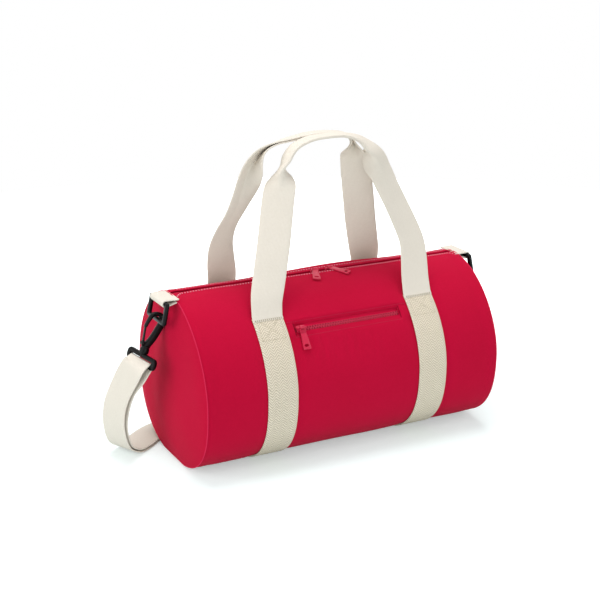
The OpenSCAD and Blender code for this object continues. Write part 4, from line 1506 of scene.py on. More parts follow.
@dataclass
class Handles:
    """The two carrying handles, twisted and folded as they stand."""

    rise: float = 188 * MM
    grip_w: float = 18 * MM
    grip_gap: float = 2 * MM
    steps: int = 7
    foot: float = 5 * MM
    bend: float = 12 * MM
    twisted_foot: Table = (
        (-1, 0, 0, 0, 0),
        (-0.96, 0.17, 0.095, 0.04, 0),
        (-0.877, 0.36, 0.2, 0.16, 0),
        (-0.755, 0.6, 0.385, 0.28, 0),
        (-0.67, 0.78, 0.54, 0.34, 0),
        (-0.605, 0.9, 0.67, 0.42, 0),
    )
    front: Table = (
        (-0.555, 0.96, 0.765, 0.58, 0.15),
        (-0.505, 1, 0.85, 0.9, 0.9),
        (-0.39, 1, 0.945, 1, 1),
        (-0.2, 1, 0.992, 1, 1),
        (0.03, 1, 1.005, 0.97, 1),
        (0.27, 1, 1, 0.82, 1),
        (0.45, 1, 0.972, 0.6, 1),
        (0.575, 1, 0.925, 0.42, 0.95),
        (0.67, 0.98, 0.855, 0.33, 0.55),
        (0.765, 0.93, 0.757, 0.28, 0.12),
        (0.845, 0.87, 0.655, 0.24, 0),
        (0.94, 0.76, 0.53, 0.18, 0),
        (1.035, 0.6, 0.39, 0.13, 0),
        (1.072, 0.48, 0.303, 0.1, 0),
        (1.062, 0.35, 0.218, 0.07, 0),
        (1.02, 0.15, 0.09, 0.03, 0),
        (1, 0, 0, 0, 0),
    )
    back: Table = (
        (-0.568, 0.96, 0.77, 0.5, 0.02),
        (-0.54, 0.99, 0.86, 0.62, 0.15),
        (-0.49, 1, 0.945, 0.9, 0.8),
        (-0.39, 1, 0.985, 1, 1),
        (-0.2, 1, 1.002, 1, 1),
        (0.03, 1, 1.005, 0.97, 1),
        (0.27, 1, 0.99, 0.72, 1),
        (0.5, 1, 0.967, 0.5, 1),
        (0.67, 1, 0.928, 0.42, 0.92),
        (0.775, 0.98, 0.864, 0.4, 0.7),
        (0.85, 0.93, 0.768, 0.4, 0.42),
        (0.915, 0.87, 0.665, 0.4, 0.2),
        (0.99, 0.76, 0.548, 0.38, 0.08),
        (1.07, 0.6, 0.43, 0.3, 0.02),
        (1.105, 0.48, 0.32, 0.2, 0),
        (1.08, 0.35, 0.218, 0.12, 0),
        (1.02, 0.15, 0.09, 0.05, 0),
        (1, 0, 0, 0, 0),
    )

    def hinge(self) -> Array:
        """Returns y and z of the line about which the handles swing."""
        return FORM.rim(np.array(180 - FORM.stitch_angle), FORM.web_t * 1.5 + 0.3 * MM)

    def station(self, rows: Array, t: float, throat: float) -> Station:
        """Works out one place along the front handle.

        Args:
            rows: The handle's table of shares.
            t: Rows from the first one.
            throat: Share of the rise at which the twisted leg has closed.

        Returns:
            The station, with the fold and the turn of the webbing.
        """
        hinge = self.hinge()
        grip_y = -(self.grip_gap + self.grip_w) / 2
        s = curve_at(rows, t)
        fold = float(np.clip(s[4], 0, 1))
        turn = math.radians(90 * s[3])
        way = 1 if t < (len(rows) - 1) / 2 else -1
        y, z = hinge[0] + (grip_y - hinge[0]) * s[1], hinge[1] + self.rise * s[2]
        place = np.array([FORM.band_x * s[0], y, z])
        across = np.array([way * math.cos(turn), -math.sin(turn), 0.0])
        if way < 0:
            return Station(place, across, fold=max(fold, 0.1 * float(smooth((s[2] - 0.5) / 0.3))))
        # The twisted leg closes like a book, and its spine comes round above the throat
        close = float(smooth((s[2] - throat) / 0.17 + 1))
        spine = float(smooth((s[2] - throat) / 0.16 + 0.75))
        return Station(place, across, fold=max(close, fold), swing=spine)

    def foot_stations(self, side: Side) -> list[Station]:
        """Lays a front foot on its band, from its lower end up to the hinge line."""
        arc = GIRTH.stitch_line(1)
        x = np.array(side.value * FORM.band_x)
        across = np.array([-float(side.value), 0.0, 0.0])
        made = []
        # The lower end is thin, so that it runs into the band without a step
        for down, thick in ((1, 0.3 * MM), (0.8, 0.6 * MM), (0.6, 1.0 * MM), (0.4, 1.5 * MM)):
            out = FORM.web_t + FORM.web_gap + thick / 2
            place = GIRTH.at(x, np.array(arc - down * self.foot), out)
            made.append(Station(place, across, thick=thick))
        return made

    def tack(self, word: str, way: int, side: Side) -> None:
        """Sews the row of short upright stitches across a foot."""
        arc = GIRTH.stitch_line(way) - way * self.foot * 0.7
        half = FORM.web_w / 2 - 1.5 * MM
        x = side.value * FORM.band_x + np.linspace(-half, half, 30)
        line = GIRTH.at(x, arc + 0 * x, FORM.web_t + 1.05 * MM)
        row = stitches(
            f"{word}_handle_tack_{side.word}", line, GIRTH.normal(arc + 0 * x),
            FINISH.tack_thread, 2.4 * MM, 0.42, 1.5 * MM,
        )
        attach(row, "bag")

    def build(self) -> None:
        """Models both handles."""
        hinge = np.append(0.0, self.hinge())
        rise = unit(np.array([0.0, 0.457, 0.889]))
        for word, rows, way, throat in (
            ("front", self.front, 1, 0.86), ("back", self.back, -1, 0.96)
        ):
            table = np.array(self.twisted_foot + rows)
            count = self.steps * (len(table) - 1)
            stations = self.foot_stations(Side.LEFT)
            stations += [self.station(table, i / self.steps, throat) for i in range(count + 1)]
            stations += reversed(self.foot_stations(Side.RIGHT))
            # The back handle is the front one turned half round
            flip = np.array([way, way, 1.0])
            stations = [
                Station(s.place * flip, s.across * flip, s.width, s.thick, s.fold, s.swing)
                for s in stations
            ]
            handle = webbing(f"{word}_handle_webbing", stations)
            dress(handle, FINISH.strap, None, [f"{word}_handle"])
            start, end = (tuple((hinge + rise * far) * flip) for far in (-MM, self.bend))
            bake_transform(handle)
            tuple(start)
            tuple(end)
            for side in Side:
                self.tack(word, way, side)


Placing = Callable[[Array], Array]


def spot(place: Placing, x: float, y: float, z: float) -> Array:
    """Returns where one point of a zip lies on the bag."""
    return place(np.array([[x, y, z]]))[0]


def zip_axes(place: Placing) -> Array:
    """Returns a zip's own three directions on the bag, as rows."""
    return np.array([spot(place, *row) - spot(place, 0.0, 0.0, 0.0) for row in np.eye(3)])


@dataclass
class Zip:
    """A closed zip: tapes, teeth, stops, sliders and their pullers."""

    pitch: float = 3.4 * MM
    tooth_h: float = 2.4 * MM
    tooth_reach: float = 2.7 * MM
    tape_reach: float = 13 * MM
    tape_t: float = 0.8 * MM
    slider_len: float = 12 * MM
    slider_w: float = 9 * MM
    plate_t: float = 1.2 * MM
    bridge: float = 7.3 * MM
    bridge_t: float = 1.7 * MM
    puller_len: float = 27 * MM
    puller_w: float = 10 * MM
    puller_t: float = 1.6 * MM
    hole: tuple[float, float] = (2.7 * MM, 1.6 * MM)
    neck_w: float = 3.0 * MM
    neck_end: float = 7.5 * MM
    hub_r: float = 2.3 * MM
    hub_hole: float = 1.25 * MM
    hub_w: float = 5.6 * MM
    stop_len: float = 2.4 * MM
    room: float = 0.3 * MM

    def tape(
        self,
        name: str,
        length: float,
        side: int,
        place: Placing,
        lift: Callable[[float], float] = lambda reach: 0.0,
    ) -> Piece:
        """Models one tape.

        Args:
            name: The piece's name.
            length: Length of the tape.
            side: -1 or 1 for the side of the teeth.
            place: Turns points of the zip into points of the bag.
            lift: How far the tape rises at a distance from the middle of the zip.

        Returns:
            The tape.
        """
        x = np.linspace(-length / 2, length / 2, 130)
        between = (r * MM for r in (3.5, 4.5, 5.5, 7, 10))
        reaches = (self.tooth_reach - 0.4 * MM, *between, self.tape_reach)
        grid = np.array([[(a, side * b, lift(b)) for a in x] for b in reaches])
        tape = lay_grid(name, place(grid), grid[:, :, :2])
        face_away(tape, place(np.array([0.0, 0.0, -0.1])))
        thicken(tape, self.tape_t, inward=False)
        return tape

    def teeth(self, name: str, length: float, side: int, place: Placing) -> Piece:
        """Models one row of teeth from a single tooth.

        Args:
            name: The row's name.
            length: Length of the row.
            side: -1 or 1 for the side of the tape.
            place: Turns points of the zip into points of the bag.

        Returns:
            The row of teeth.
        """
        bpy.ops.mesh.primitive_cube_add(size=1.0)
        tooth = bpy.context.object
        block = (self.pitch * 0.5, self.tooth_reach + 0.5 * MM, self.tooth_h)

        def shape_tooth() -> None:
            """Gives the block its size and bevels it."""
            bpy.ops.transform.resize(value=block)
            bpy.ops.mesh.bevel(offset=0.35 * MM, segments=1, affect="EDGES")

        in_edit_mode(tooth, shape_tooth)
        axes = zip_axes(place)
        count = int(length / self.pitch)
        start = -count * self.pitch / 2
        # Teeth of one row stand in the gaps of the other
        shift = self.pitch * (0.28 if side < 0 else 0.78)
        y = side * (self.tooth_reach / 2 - 0.1 * MM)
        frames = [(spot(place, start + i * self.pitch + shift, y, 0.0), axes) for i in range(count)]
        return join_copies(name, tooth, frames)

    def stops(self, name: str, length: float, place: Placing) -> Piece:
        """Models the pair of end stops as crimped blocks."""
        made = []
        across = zip_axes(place)[1]
        for way in (-1, 1):
            x0 = way * (length / 2 + self.room)
            x1 = x0 + way * self.stop_len
            rows = [
                Station(
                    spot(place, x0 + (x1 - x0) * t, 0.0, 0.0), across,
                    2 * self.tooth_reach, self.tooth_h,
                )
                for t in (0.15, 0.5, 0.85)
            ]
            made.append(bar("stop", rows, 0.6 * MM))
        return joined(name, made)

    def slider(self, name: str, x: float, place: Placing) -> Piece:
        """Models a slider: two plates, their lips and the bridge that holds the puller.

        Args:
            name: The piece's name.
            x: Place along the zip.
            place: Turns points of the zip into points of the bag.

        Returns:
            The slider.
        """
        made = []
        across = zip_axes(place)[1]

        def run(
            points: Sequence[tuple[float, float, float]],
            widths: Sequence[float],
            thick: float,
            corner: float,
        ) -> None:
            """Adds one swept part of the slider, with its widths in millimetres."""
            stations = [
                Station(spot(place, x + a, b, c), across, width * MM, thick)
                for (a, b, c), width in zip(points, widths)
            ]
            made.append(bar("slider_part", stations, corner))

        half = self.slider_len / 2
        low = self.tooth_h / 2 + self.room
        lip = self.slider_w / 2 - 0.45 * MM
        plate = (-half + 1 * MM, -half * 0.55, 0, half * 0.55, half - 1 * MM)
        for s in (-1, 1):
            z = s * (low + self.plate_t / 2)
            run([(a, 0, z) for a in plate], (6.2, 8.6, 9.0, 8.4, 6.6), self.plate_t, 0.5 * MM)
            for y in (-1, 1):
                points = [(t * half * 0.5, y * lip, s * (low - 0.1 * MM)) for t in (-1, 0, 1)]
                run(points, (0.9, 0.9, 0.9), 1.1 * MM, 0.2 * MM)
        top, lift = low + self.plate_t, self.bridge
        rise = (
            (1.2, top - 0.3 * MM), (1.0, lift - 1.8 * MM), (1.7, lift - 0.4 * MM), (3.2, lift)
        )
        points = [(-half + a * MM, 0, z) for a, z in rise]
        points += [(half - a * MM, 0, z) for a, z in reversed(rise)]
        run(points, (2.4, 2.4, 2.0, 2.0, 2.0, 2.0, 2.4, 2.4), self.bridge_t, 0.6 * MM)
        return joined(name, made)

    def puller(self, name: str, x: float, dip: float, turn: float, place: Placing) -> Piece:
        """Models a puller with its hub and its oval hole.

        Args:
            name: The piece's name.
            x: Place along the zip.
            dip: How far it hangs down, in degrees.
            turn: How far it turns towards +X, in degrees.
            place: Turns points of the zip into points of the bag.

        Returns:
            The puller.
        """
        half = self.puller_w / 2
        far = self.puller_len - half
        # Directions from the middle of the hole, closer together towards the neck
        even = np.linspace(-math.pi, math.pi, 72, endpoint=False)
        ways = circle(math.pi / 2 + even - 0.8 * np.sin(even))
        oval = 2.6
        hole = ways / ((np.abs(ways) / self.hole) ** oval).sum(axis=1, keepdims=True) ** (1 / oval)
        lean = math.atan2(half - self.neck_w, far + half)
        flank = half * math.cos(lean) - half * math.sin(lean)
        sides = [
            (0.0, -1.0, 4.6 * MM),
            (0.0, 1.0, far - 1.4 * MM),
            (math.cos(lean), math.sin(lean), flank),
            (-math.cos(lean), math.sin(lean), flank),
        ]
        nearness = [np.maximum(ways @ np.array([a, b]), 0) / reach for a, b, reach in sides]
        outer_ring = ways / (np.array(nearness) ** 14).sum(axis=0)[:, None] ** (1 / 14)
        dip_a, turn_a = math.radians(dip), math.radians(turn)

        def lay(points: Array) -> Array:
            """Turns the plate's own points into points of the bag."""
            along = far - points[..., 1]
            px = points[..., 0] * math.cos(turn_a) + along * math.sin(turn_a)
            py = points[..., 0] * math.sin(turn_a) - along * math.cos(turn_a)
            pz = points[..., 2]
            y = py * math.cos(dip_a) - pz * math.sin(dip_a)
            z = py * math.sin(dip_a) + pz * math.cos(dip_a)
            return place(np.stack([px + x, y, z + self.bridge], axis=-1))

        plate = plate_with_hole(
            "tongue", outer_ring, hole, self.puller_t, 0.35 * MM, np.zeros(3), np.eye(3)
        )
        set_corners(plate, lay(corners_of(plate)))
        axes = zip_axes(place)
        ring = circle(np.linspace(0, math.tau, 32, endpoint=False))
        hub = plate_with_hole(
            "hub", ring * self.hub_r, ring * self.hub_hole, self.hub_w, 0.3 * MM,
            spot(place, x, 0.0, self.bridge), axes[[1, 2, 0]],
        )
        way = np.array([math.cos(turn_a * 0.7), math.sin(turn_a * 0.7), 0.0]) @ axes
        neck = [
            (0.0, -1.9 * MM, 5.4 * MM),
            (math.sin(turn_a) * 2.2 * MM, -4.2 * MM, 5.6 * MM),
            (math.sin(turn_a) * self.neck_end, -math.cos(turn_a) * self.neck_end, 6.6 * MM),
        ]
        stations = [
            Station(
                spot(place, x + a, b * math.cos(dip_a), b * math.sin(dip_a) + self.bridge),
                way, width, self.puller_t,
            )
            for a, b, width in neck
        ]
        made = [plate, hub, bar("neck", stations, 0.35 * MM, round_ends=False)]
        for piece in made:
            in_edit_mode(piece, face_outwards)
        return joined(name, made)

    def hang_slider(
        self, names: Sequence[str], nodes: Sequence[str], x: float, dip: float, turn: float,
        place: Placing,
    ) -> None:
        """Models a slider and its puller, each on a body of its own.

        Args:
            names: Names of the slider's and the puller's pieces.
            nodes: Their CAD nodes, after which their bodies are named.
            x: Place along the zip.
            dip: How far the puller hangs down, in degrees.
            turn: How far it turns towards +X, in degrees.
            place: Turns points of the zip into points of the bag.
        """
        pieces = self.slider(names[0], x, place), self.puller(names[1], x, dip, turn, place)
        for piece, node in zip(pieces, nodes):
            dress(piece, FINISH.red, f"{node}_body", [node])


@dataclass
class MainZip:
    """The zip along the crown with its two sliders."""

    zip: Zip = field(default_factory=Zip)
    length: float = 380 * MM
    teeth_length: float = 357.2 * MM
    height: float = 198.5 * MM
    sliders: tuple[tuple[Side, float, float, float], ...] = (
        (Side.LEFT, -5 * MM, 9.3, -22.0),
        (Side.RIGHT, 15 * MM, 9.3, 39.0),
    )

    def place(self, points: Array) -> Array:
        """Turns points of the zip into points of the bag."""
        return points + np.array([0.0, 0.0, self.height])

    def tape_lift(self, reach: float) -> float:
        """Returns how far the tape rises at reach to meet the underside of its flap."""
        share = 1 - (reach / (FORM.width / 2)) ** FORM.crown_power
        crown = FORM.belly + (FORM.height - FORM.belly) * share ** (1 / FORM.crown_power)
        return float(smooth((reach - 4 * MM) / (2 * MM))) * (crown - 2.5 * MM - self.height)

    def build(self) -> None:
        """Models the whole zip."""
        for side, word in ((-1, "front"), (1, "back")):
            tape = self.zip.tape(f"zip_tape_{word}", self.length, side, self.place, self.tape_lift)
            dress(tape, FINISH.tape, "bag", [f"main_zip_tape_{word}"])
            teeth = self.zip.teeth(f"zip_teeth_{word}", self.teeth_length, side, self.place)
            dress(teeth, FINISH.teeth, "bag", [f"main_zip_teeth_{word}"], 20)
        stops = self.zip.stops("zip_stops", self.teeth_length, self.place)
        dress(stops, FINISH.red, "bag", ["main_zip_stops"])
        for side, *lie in self.sliders:
            names = [f"zip_{part}_{side.word}" for part in ("slider", "puller")]
            nodes = [f"main_{part}_{side.word}" for part in ("slider", "puller")]
            self.zip.hang_slider(names, nodes, *lie, self.place)


@dataclass
class FrontPocket:
    """The front pocket: its zip in the window and the pouch behind it."""

    zip: Zip = field(default_factory=Zip)
    middle_x: float = -1 * MM
    slope: float = 49.786
    spot: tuple[float, float] = (-75.968 * MM, 163.598 * MM)
    level: float = -4.516 * MM
    length: float = 149 * MM
    teeth_length: float = 141 * MM
    slider_x: float = -62.2 * MM
    dip: float = 7.4
    pouch_top: float = 150 * MM
    pouch_depth: float = 91 * MM
    pouch_half: float = 74 * MM
    pouch_front: float = -79.6 * MM
    pouch_space: float = 13.4 * MM

    def place(self, points: Array) -> Array:
        """Turns points of the zip into points of the bag."""
        a = math.radians(self.slope)
        y, z = points[..., 1], points[..., 2] + self.level
        back = self.spot[0] + y * math.cos(a) - z * math.sin(a)
        up = self.spot[1] + y * math.sin(a) + z * math.cos(a)
        return np.stack([points[..., 0] + self.middle_x, back, up], axis=-1)

    def build(self) -> None:
        """Models the pocket's zip and pouch."""
        sides = (-1, 1)
        tapes = [self.zip.tape(f"tape_{s}", self.length, s, self.place) for s in sides]
        dress(joined("pocket_tapes", tapes), FINISH.tape, "bag", ["pocket_zip_tapes"])
        teeth = [self.zip.teeth(f"teeth_{s}", self.teeth_length, s, self.place) for s in sides]
        row = joined("pocket_teeth", teeth)
        dress(row, FINISH.teeth, "bag", ["pocket_zip_teeth"], 20)
        stops = self.zip.stops("pocket_stops", self.teeth_length, self.place)
        dress(stops, FINISH.red, "bag", ["pocket_zip_stops"])
        self.zip.hang_slider(
            ("pocket_slider_body_piece", "pocket_puller_piece"), ("pocket_slider", "pocket_puller"),
            self.slider_x, self.dip, 0.0, self.place,
        )
        self.build_pouch()

    def build_pouch(self) -> None:
        """Models the pouch as a soft bag below the zip."""
        front, space = self.pouch_front, self.pouch_space
        bottom = self.pouch_top - self.pouch_depth
        slope = math.tan(math.radians(self.slope))
        angles = np.linspace(0, math.tau, 73)
        side, depth = (np.sign(w) * np.abs(w) ** p for w, p in zip(circle(angles).T, (0.35, 0.5)))
        rows, uvs = [], []
        for t in np.linspace(0, 1, 22):
            z = self.pouch_top - self.pouch_depth * (1 - t)
            close = smooth(t / 0.14) ** 0.5
            x = self.pouch_half * side
            y = depth * (space / 2 * (0.25 + 0.75 * close))
            bulge = 1.0 * MM * wave_sum(x, 0 * x + z, 14, 60 * MM) * np.sin(math.pi * t)
            zs = z + smooth((t - 0.8) / 0.2) * (y + space / 2) * slope
            xs = x * (0.97 + 0.03 * close) + self.middle_x
            rows.append(np.stack([xs, front + space / 2 + y + bulge * 0.5, zs], axis=1))
            uvs.append(np.stack([x, 0 * x + z], axis=1))
        pouch = lay_grid("pocket_pouch_cloth", np.array(rows), np.array(uvs), closed=True)

        def close_bottom() -> None:
            """Fills the lower end of the pouch and turns its faces outwards."""
            bpy.ops.mesh.edge_face_add()
            bpy.ops.mesh.select_all(action="SELECT")
            face_outwards()

        on_part_of(pouch, "VERT", lambda vertex: vertex.co[2] < bottom + 0.5 * MM, close_bottom)
        middle = self.pouch_top - self.pouch_depth / 2
        face_away(pouch, np.array([0.0, front + space / 2, middle]))
        thicken(pouch, 0.8 * MM)
        dress(pouch, FINISH.lining, "bag", ["pocket_pouch"])


def downwards(lean: float) -> Array:
    """Returns the way down that leans outwards by some degrees at the left end."""
    a = math.radians(lean)
    return np.array([-math.sin(a), 0.0, -math.cos(a)])


def in_mm(*rows: tuple[float, float]) -> list[tuple[float, float]]:
    """Turns pairs of millimetres into pairs of metres."""
    return [(a * MM, b * MM) for a, b in rows]


@dataclass
class Hangers:
    """What hangs at each end: the tab, its ring, the hook, its gate and the swivel eye."""

    tab_y: float = -6 * MM
    right_shift: float = 12 * MM
    tab_out: float = 14.5 * MM
    tab_down: float = 4.6 * MM
    ring_bar: float = 4.8 * MM
    ring_side: float = 6.2 * MM
    ring_drop: float = 22 * MM
    ring_tilt: float = 12.0
    hook_tilt: float = 21.0
    hook_t: float = 6.5 * MM
    hook_arm: float = 4.6 * MM
    hook_len: float = 34 * MM
    swivel_r: float = 4.8 * MM
    swivel_len: float = 9 * MM
    post_r: float = 2.3 * MM
    eye_turn: float = 15.0
    eye_bar: float = 4 * MM
    eye_drop: float = 8 * MM
    eye_room: float = 2 * MM
    gate_t: float = 2.2 * MM
    gate_w: float = 3.6 * MM
    foot_x: float = 2 * MM

    def hung(self, side: Side, points: Array) -> Array:
        """Moves points drawn at the left end to their side."""
        if side is Side.LEFT:
            return points
        return points * MIRROR + ACROSS * self.right_shift

    @property
    def tab_at(self) -> Array:
        """Middle of a ring's upper bar."""
        x, z = -FORM.length / 2 - self.tab_out, FORM.height - self.tab_down
        return np.array([x, self.tab_y, z])

    @property
    def ring_low(self) -> Array:
        """Middle of a ring's lower bar."""
        return self.tab_at + self.ring_drop * downwards(self.ring_tilt)

    def hook_axes(self) -> Array:
        """Rows for the hook's own directions: outwards, up and towards the back."""
        a = math.radians(self.hook_tilt)
        out, up = (-math.cos(a), 0.0, math.sin(a)), (math.sin(a), 0.0, math.cos(a))
        return np.array([out, up, ACROSS])

    def from_hook(self, x: float, y: float) -> Array:
        """Turns a point of the hook's own plane into a point at the bag's left end."""
        return self.ring_low + np.array([x, y, 0.0]) @ self.hook_axes()

    def gate_pivot(self) -> Array:
        """Returns where the gate turns, in the hook's own plane."""
        return np.array([self.foot_x + self.swivel_r, -self.hook_len + 2.75 * MM])

    def build(self) -> None:
        """Models both ends' hangers."""
        for side in Side:
            self.build_tab(side)
            self.build_ring(side)
            self.build_hook(side)
            self.build_gate(side)
            self.build_eye(side)

    def mirror(self, side: Side, piece: Piece) -> None:
        """Moves a piece drawn at the left to its side, with its faces outwards."""
        if side is Side.RIGHT:
            set_corners(piece, self.hung(side, corners_of(piece)))
            in_edit_mode(piece, flip_faces)

    def finish(self, side: Side, piece: Piece, body: str, node: str, angle: float = 45) -> None:
        """Moves a moulded piece to its side and dresses it."""
        self.mirror(side, piece)
        dress(piece, FINISH.black, body, [node], angle)

    def build_tab(self, side: Side) -> None:
        """Sweeps the tab's webbing round the ring's upper bar."""
        bar_at = self.tab_at
        radius = self.ring_bar / 2 + 0.35 * MM + FORM.web_t / 2
        root = np.array([-FORM.length / 2 + 1.5 * MM, self.tab_y, FORM.height - 1.4 * MM])
        low = root + np.array([-2.5 * MM, 0.0, -3.2 * MM])
        places = [root, root + (bar_at + np.array([0, 0, radius]) - root) * 0.45]
        for a in np.linspace(80, 290, 15):
            way = math.radians(a)
            places.append(bar_at + radius * np.array([math.cos(way), 0.0, math.sin(way)]))
        places += [low + (places[-1] - low) * 0.4, low]
        tab = webbing(f"tab_webbing_{side.word}", [Station(p, ACROSS) for p in places])
        self.mirror(side, tab)
        dress(tab, FINISH.strap, None, [f"tab_{side.word}"])
        start, end = (tuple(self.hung(side, point)) for point in (root, bar_at))
        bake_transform(tab)
        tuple(start)
        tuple(end)

    def build_ring(self, side: Side) -> None:
        """Models the rectangular ring."""
        inner_w, half = FORM.web_w / 2 + 0.6 * MM, self.ring_drop / 2
        down = downwards(self.ring_tilt)
        middle = self.tab_at + down * half
        rims = (
            (inner_w + self.ring_side, half + self.ring_bar / 2, 3.2 * MM),
            (inner_w, half - self.ring_bar / 2, 1.4 * MM),
        )
        outer, inner = (rounded_box(2 * w, 2 * h, corner, 10)[:-1] for w, h, corner in rims)
        axes = np.array([ACROSS, -down, np.cross(ACROSS, -down)])
        ring = plate_with_hole(
            f"strap_ring_{side.word}", outer, inner, self.ring_bar, 1.5 * MM, middle, axes
        )
        self.finish(side, ring, "strap_body", f"ring_{side.word}", 50)

    def hook_line(self) -> Array:
        """Middle line of the hook's arm, from its foot to its tip."""
        claw = self.ring_bar / 2 + 0.6 * MM + self.hook_arm / 2
        side = 8 * MM
        long = self.hook_len
        shank = [[self.foot_x, -long], [-side * 0.3, -long * 0.74], [-side * 0.74, -long * 0.4]]
        bow = [[-side, -long * 0.1], [-side * 0.62, claw * 0.72], [0, claw * 1.02]]
        tip = [[side * 0.68, claw * 0.6], [side, -claw * 0.5], [side + 2 * MM, -long * 0.34]]
        return np.array(shank + bow + tip)

    def build_hook(self, side: Side) -> None:
        """Models the hook: the arm, its foot and the swivel barrel."""
        axes = self.hook_axes()
        line = self.hook_line()
        steps = 6
        count = steps * (len(line) - 1)
        stations = []
        for i in range(count + 1):
            t = i / count
            # The shank is wide, and the arm gets thinner towards its tip
            share = 1.7 - 0.75 * smooth((t - 0.28) / 0.4)
            if t > 0.85:
                share = 0.95 - 0.25 * (t - 0.85) / 0.15
            place = self.from_hook(*curve_at(line, i / steps))
            sizes = self.hook_t * (1.0 - 0.22 * t), self.hook_arm * share
            stations.append(Station(place, axes[2], *sizes))
        arm = bar("arm", stations, 1.5 * MM)
        foot_w = 2 * (self.swivel_r - 0.3 * MM)
        foot = [
            Station(
                self.from_hook(self.foot_x, -self.hook_len + h * MM),
                axes[0], foot_w * w, self.hook_t * w,
            )
            for h, w in ((-4.0, 0.9), (-1.0, 1.0), (1.6, 1.0), (3.4, 0.85))
        ]
        boss = in_mm(
            (0.0, -3.3), (1.9, -3.3), (2.45, -2.8), (2.45, -2.1),
            (2.45, 2.1), (2.45, 2.8), (1.9, 3.3), (0.0, 3.3),
        )
        barrel = in_mm(
            (0.0, 1.0), (4.3, 1.0), (5.2, 0.4), (5.4, -0.6), (4.8, -1.4), (4.8, -2.2), (5.4, -3.0),
            (5.4, -7.6), (5.0, -8.6), (4.0, -9.0), (2.5, -9.0), (2.5, -8.0), (0.0, -8.0),
        )
        barrel_at = self.from_hook(self.foot_x, -self.hook_len)
        parts = [
            arm,
            bar("foot", foot, 1.4 * MM),
            turned("boss", boss, self.from_hook(*self.gate_pivot()), axes, 24),
            turned("swivel", barrel, barrel_at, axes[[2, 0, 1]]),
        ]
        hook = joined(f"snap_hook_{side.word}", parts)
        self.finish(side, hook, f"hook_{side.word}_body", f"hook_{side.word}")

    def build_gate(self, side: Side) -> None:
        """Models the sprung gate from its pivot to the hook's tip."""
        across = self.hook_axes()[2]
        pivot = self.gate_pivot()
        way = np.array([10 * MM, -self.hook_len * 0.34]) - pivot
        reach = np.linalg.norm(way) - 0.5 * MM
        way = unit(way)
        stations = []
        for t in np.linspace(0.0, 0.97, 10):
            # The gate is thicker round its pivot
            thick = self.gate_t * (1.0 - 0.15 * t) * (1.0 + 0.35 * bump(t - 0.02, 0.12))
            place = self.from_hook(*(pivot + way * reach * t))
            stations.append(Station(place, across, self.gate_w, thick))
        gate = bar(f"hook_gate_{side.word}", stations, 0.7 * MM)
        self.finish(side, gate, f"gate_{side.word}_body", f"gate_{side.word}")

    def build_eye(self, side: Side) -> None:
        """Models the swivel eye: the post, the yoke and the bar for the webbing."""
        axes = self.hook_axes()
        turn = math.radians(self.eye_turn)
        eye_r = self.eye_bar / 2
        along = math.sin(turn) * axes[0] + math.cos(turn) * axes[2]
        flat = np.cross(axes[1], along)
        centre = self.from_hook(
            self.foot_x, -self.hook_len - self.swivel_len - 0.3 * MM - eye_r
        )
        half = FORM.web_w / 2 + self.eye_room + eye_r
        middle = centre - axes[1] * self.eye_drop / 2
        stations = []
        for a, b in rounded_box(2 * half, self.eye_drop, 2.6 * MM, 5):
            # The yoke's two sides are stouter than its bars
            near = bump(half - abs(a), 4 * MM)
            place = middle + a * along + b * axes[1]
            sizes = self.eye_bar * (1.0 + 0.35 * near), self.eye_bar * (1.0 + 0.6 * near)
            stations.append(Station(place, flat, *sizes))
        profile = [
            (0.0, -1.0 * MM), (3.4 * MM, -1.0 * MM), (3.6 * MM, 0.4 * MM), (3.0 * MM, eye_r),
            (self.post_r, eye_r + 0.3 * MM), (self.post_r, 9.0 * MM), (0.0, 9.4 * MM),
        ]
        parts = [
            bar("frame", stations, 1.6 * MM, loop=True),
            turned("post", profile, centre, np.array([along, flat, axes[1]]), 24),
        ]
        eye = joined(f"strap_eye_{side.word}", parts)
        self.finish(side, eye, "strap_body", f"swivel_eye_{side.word}")


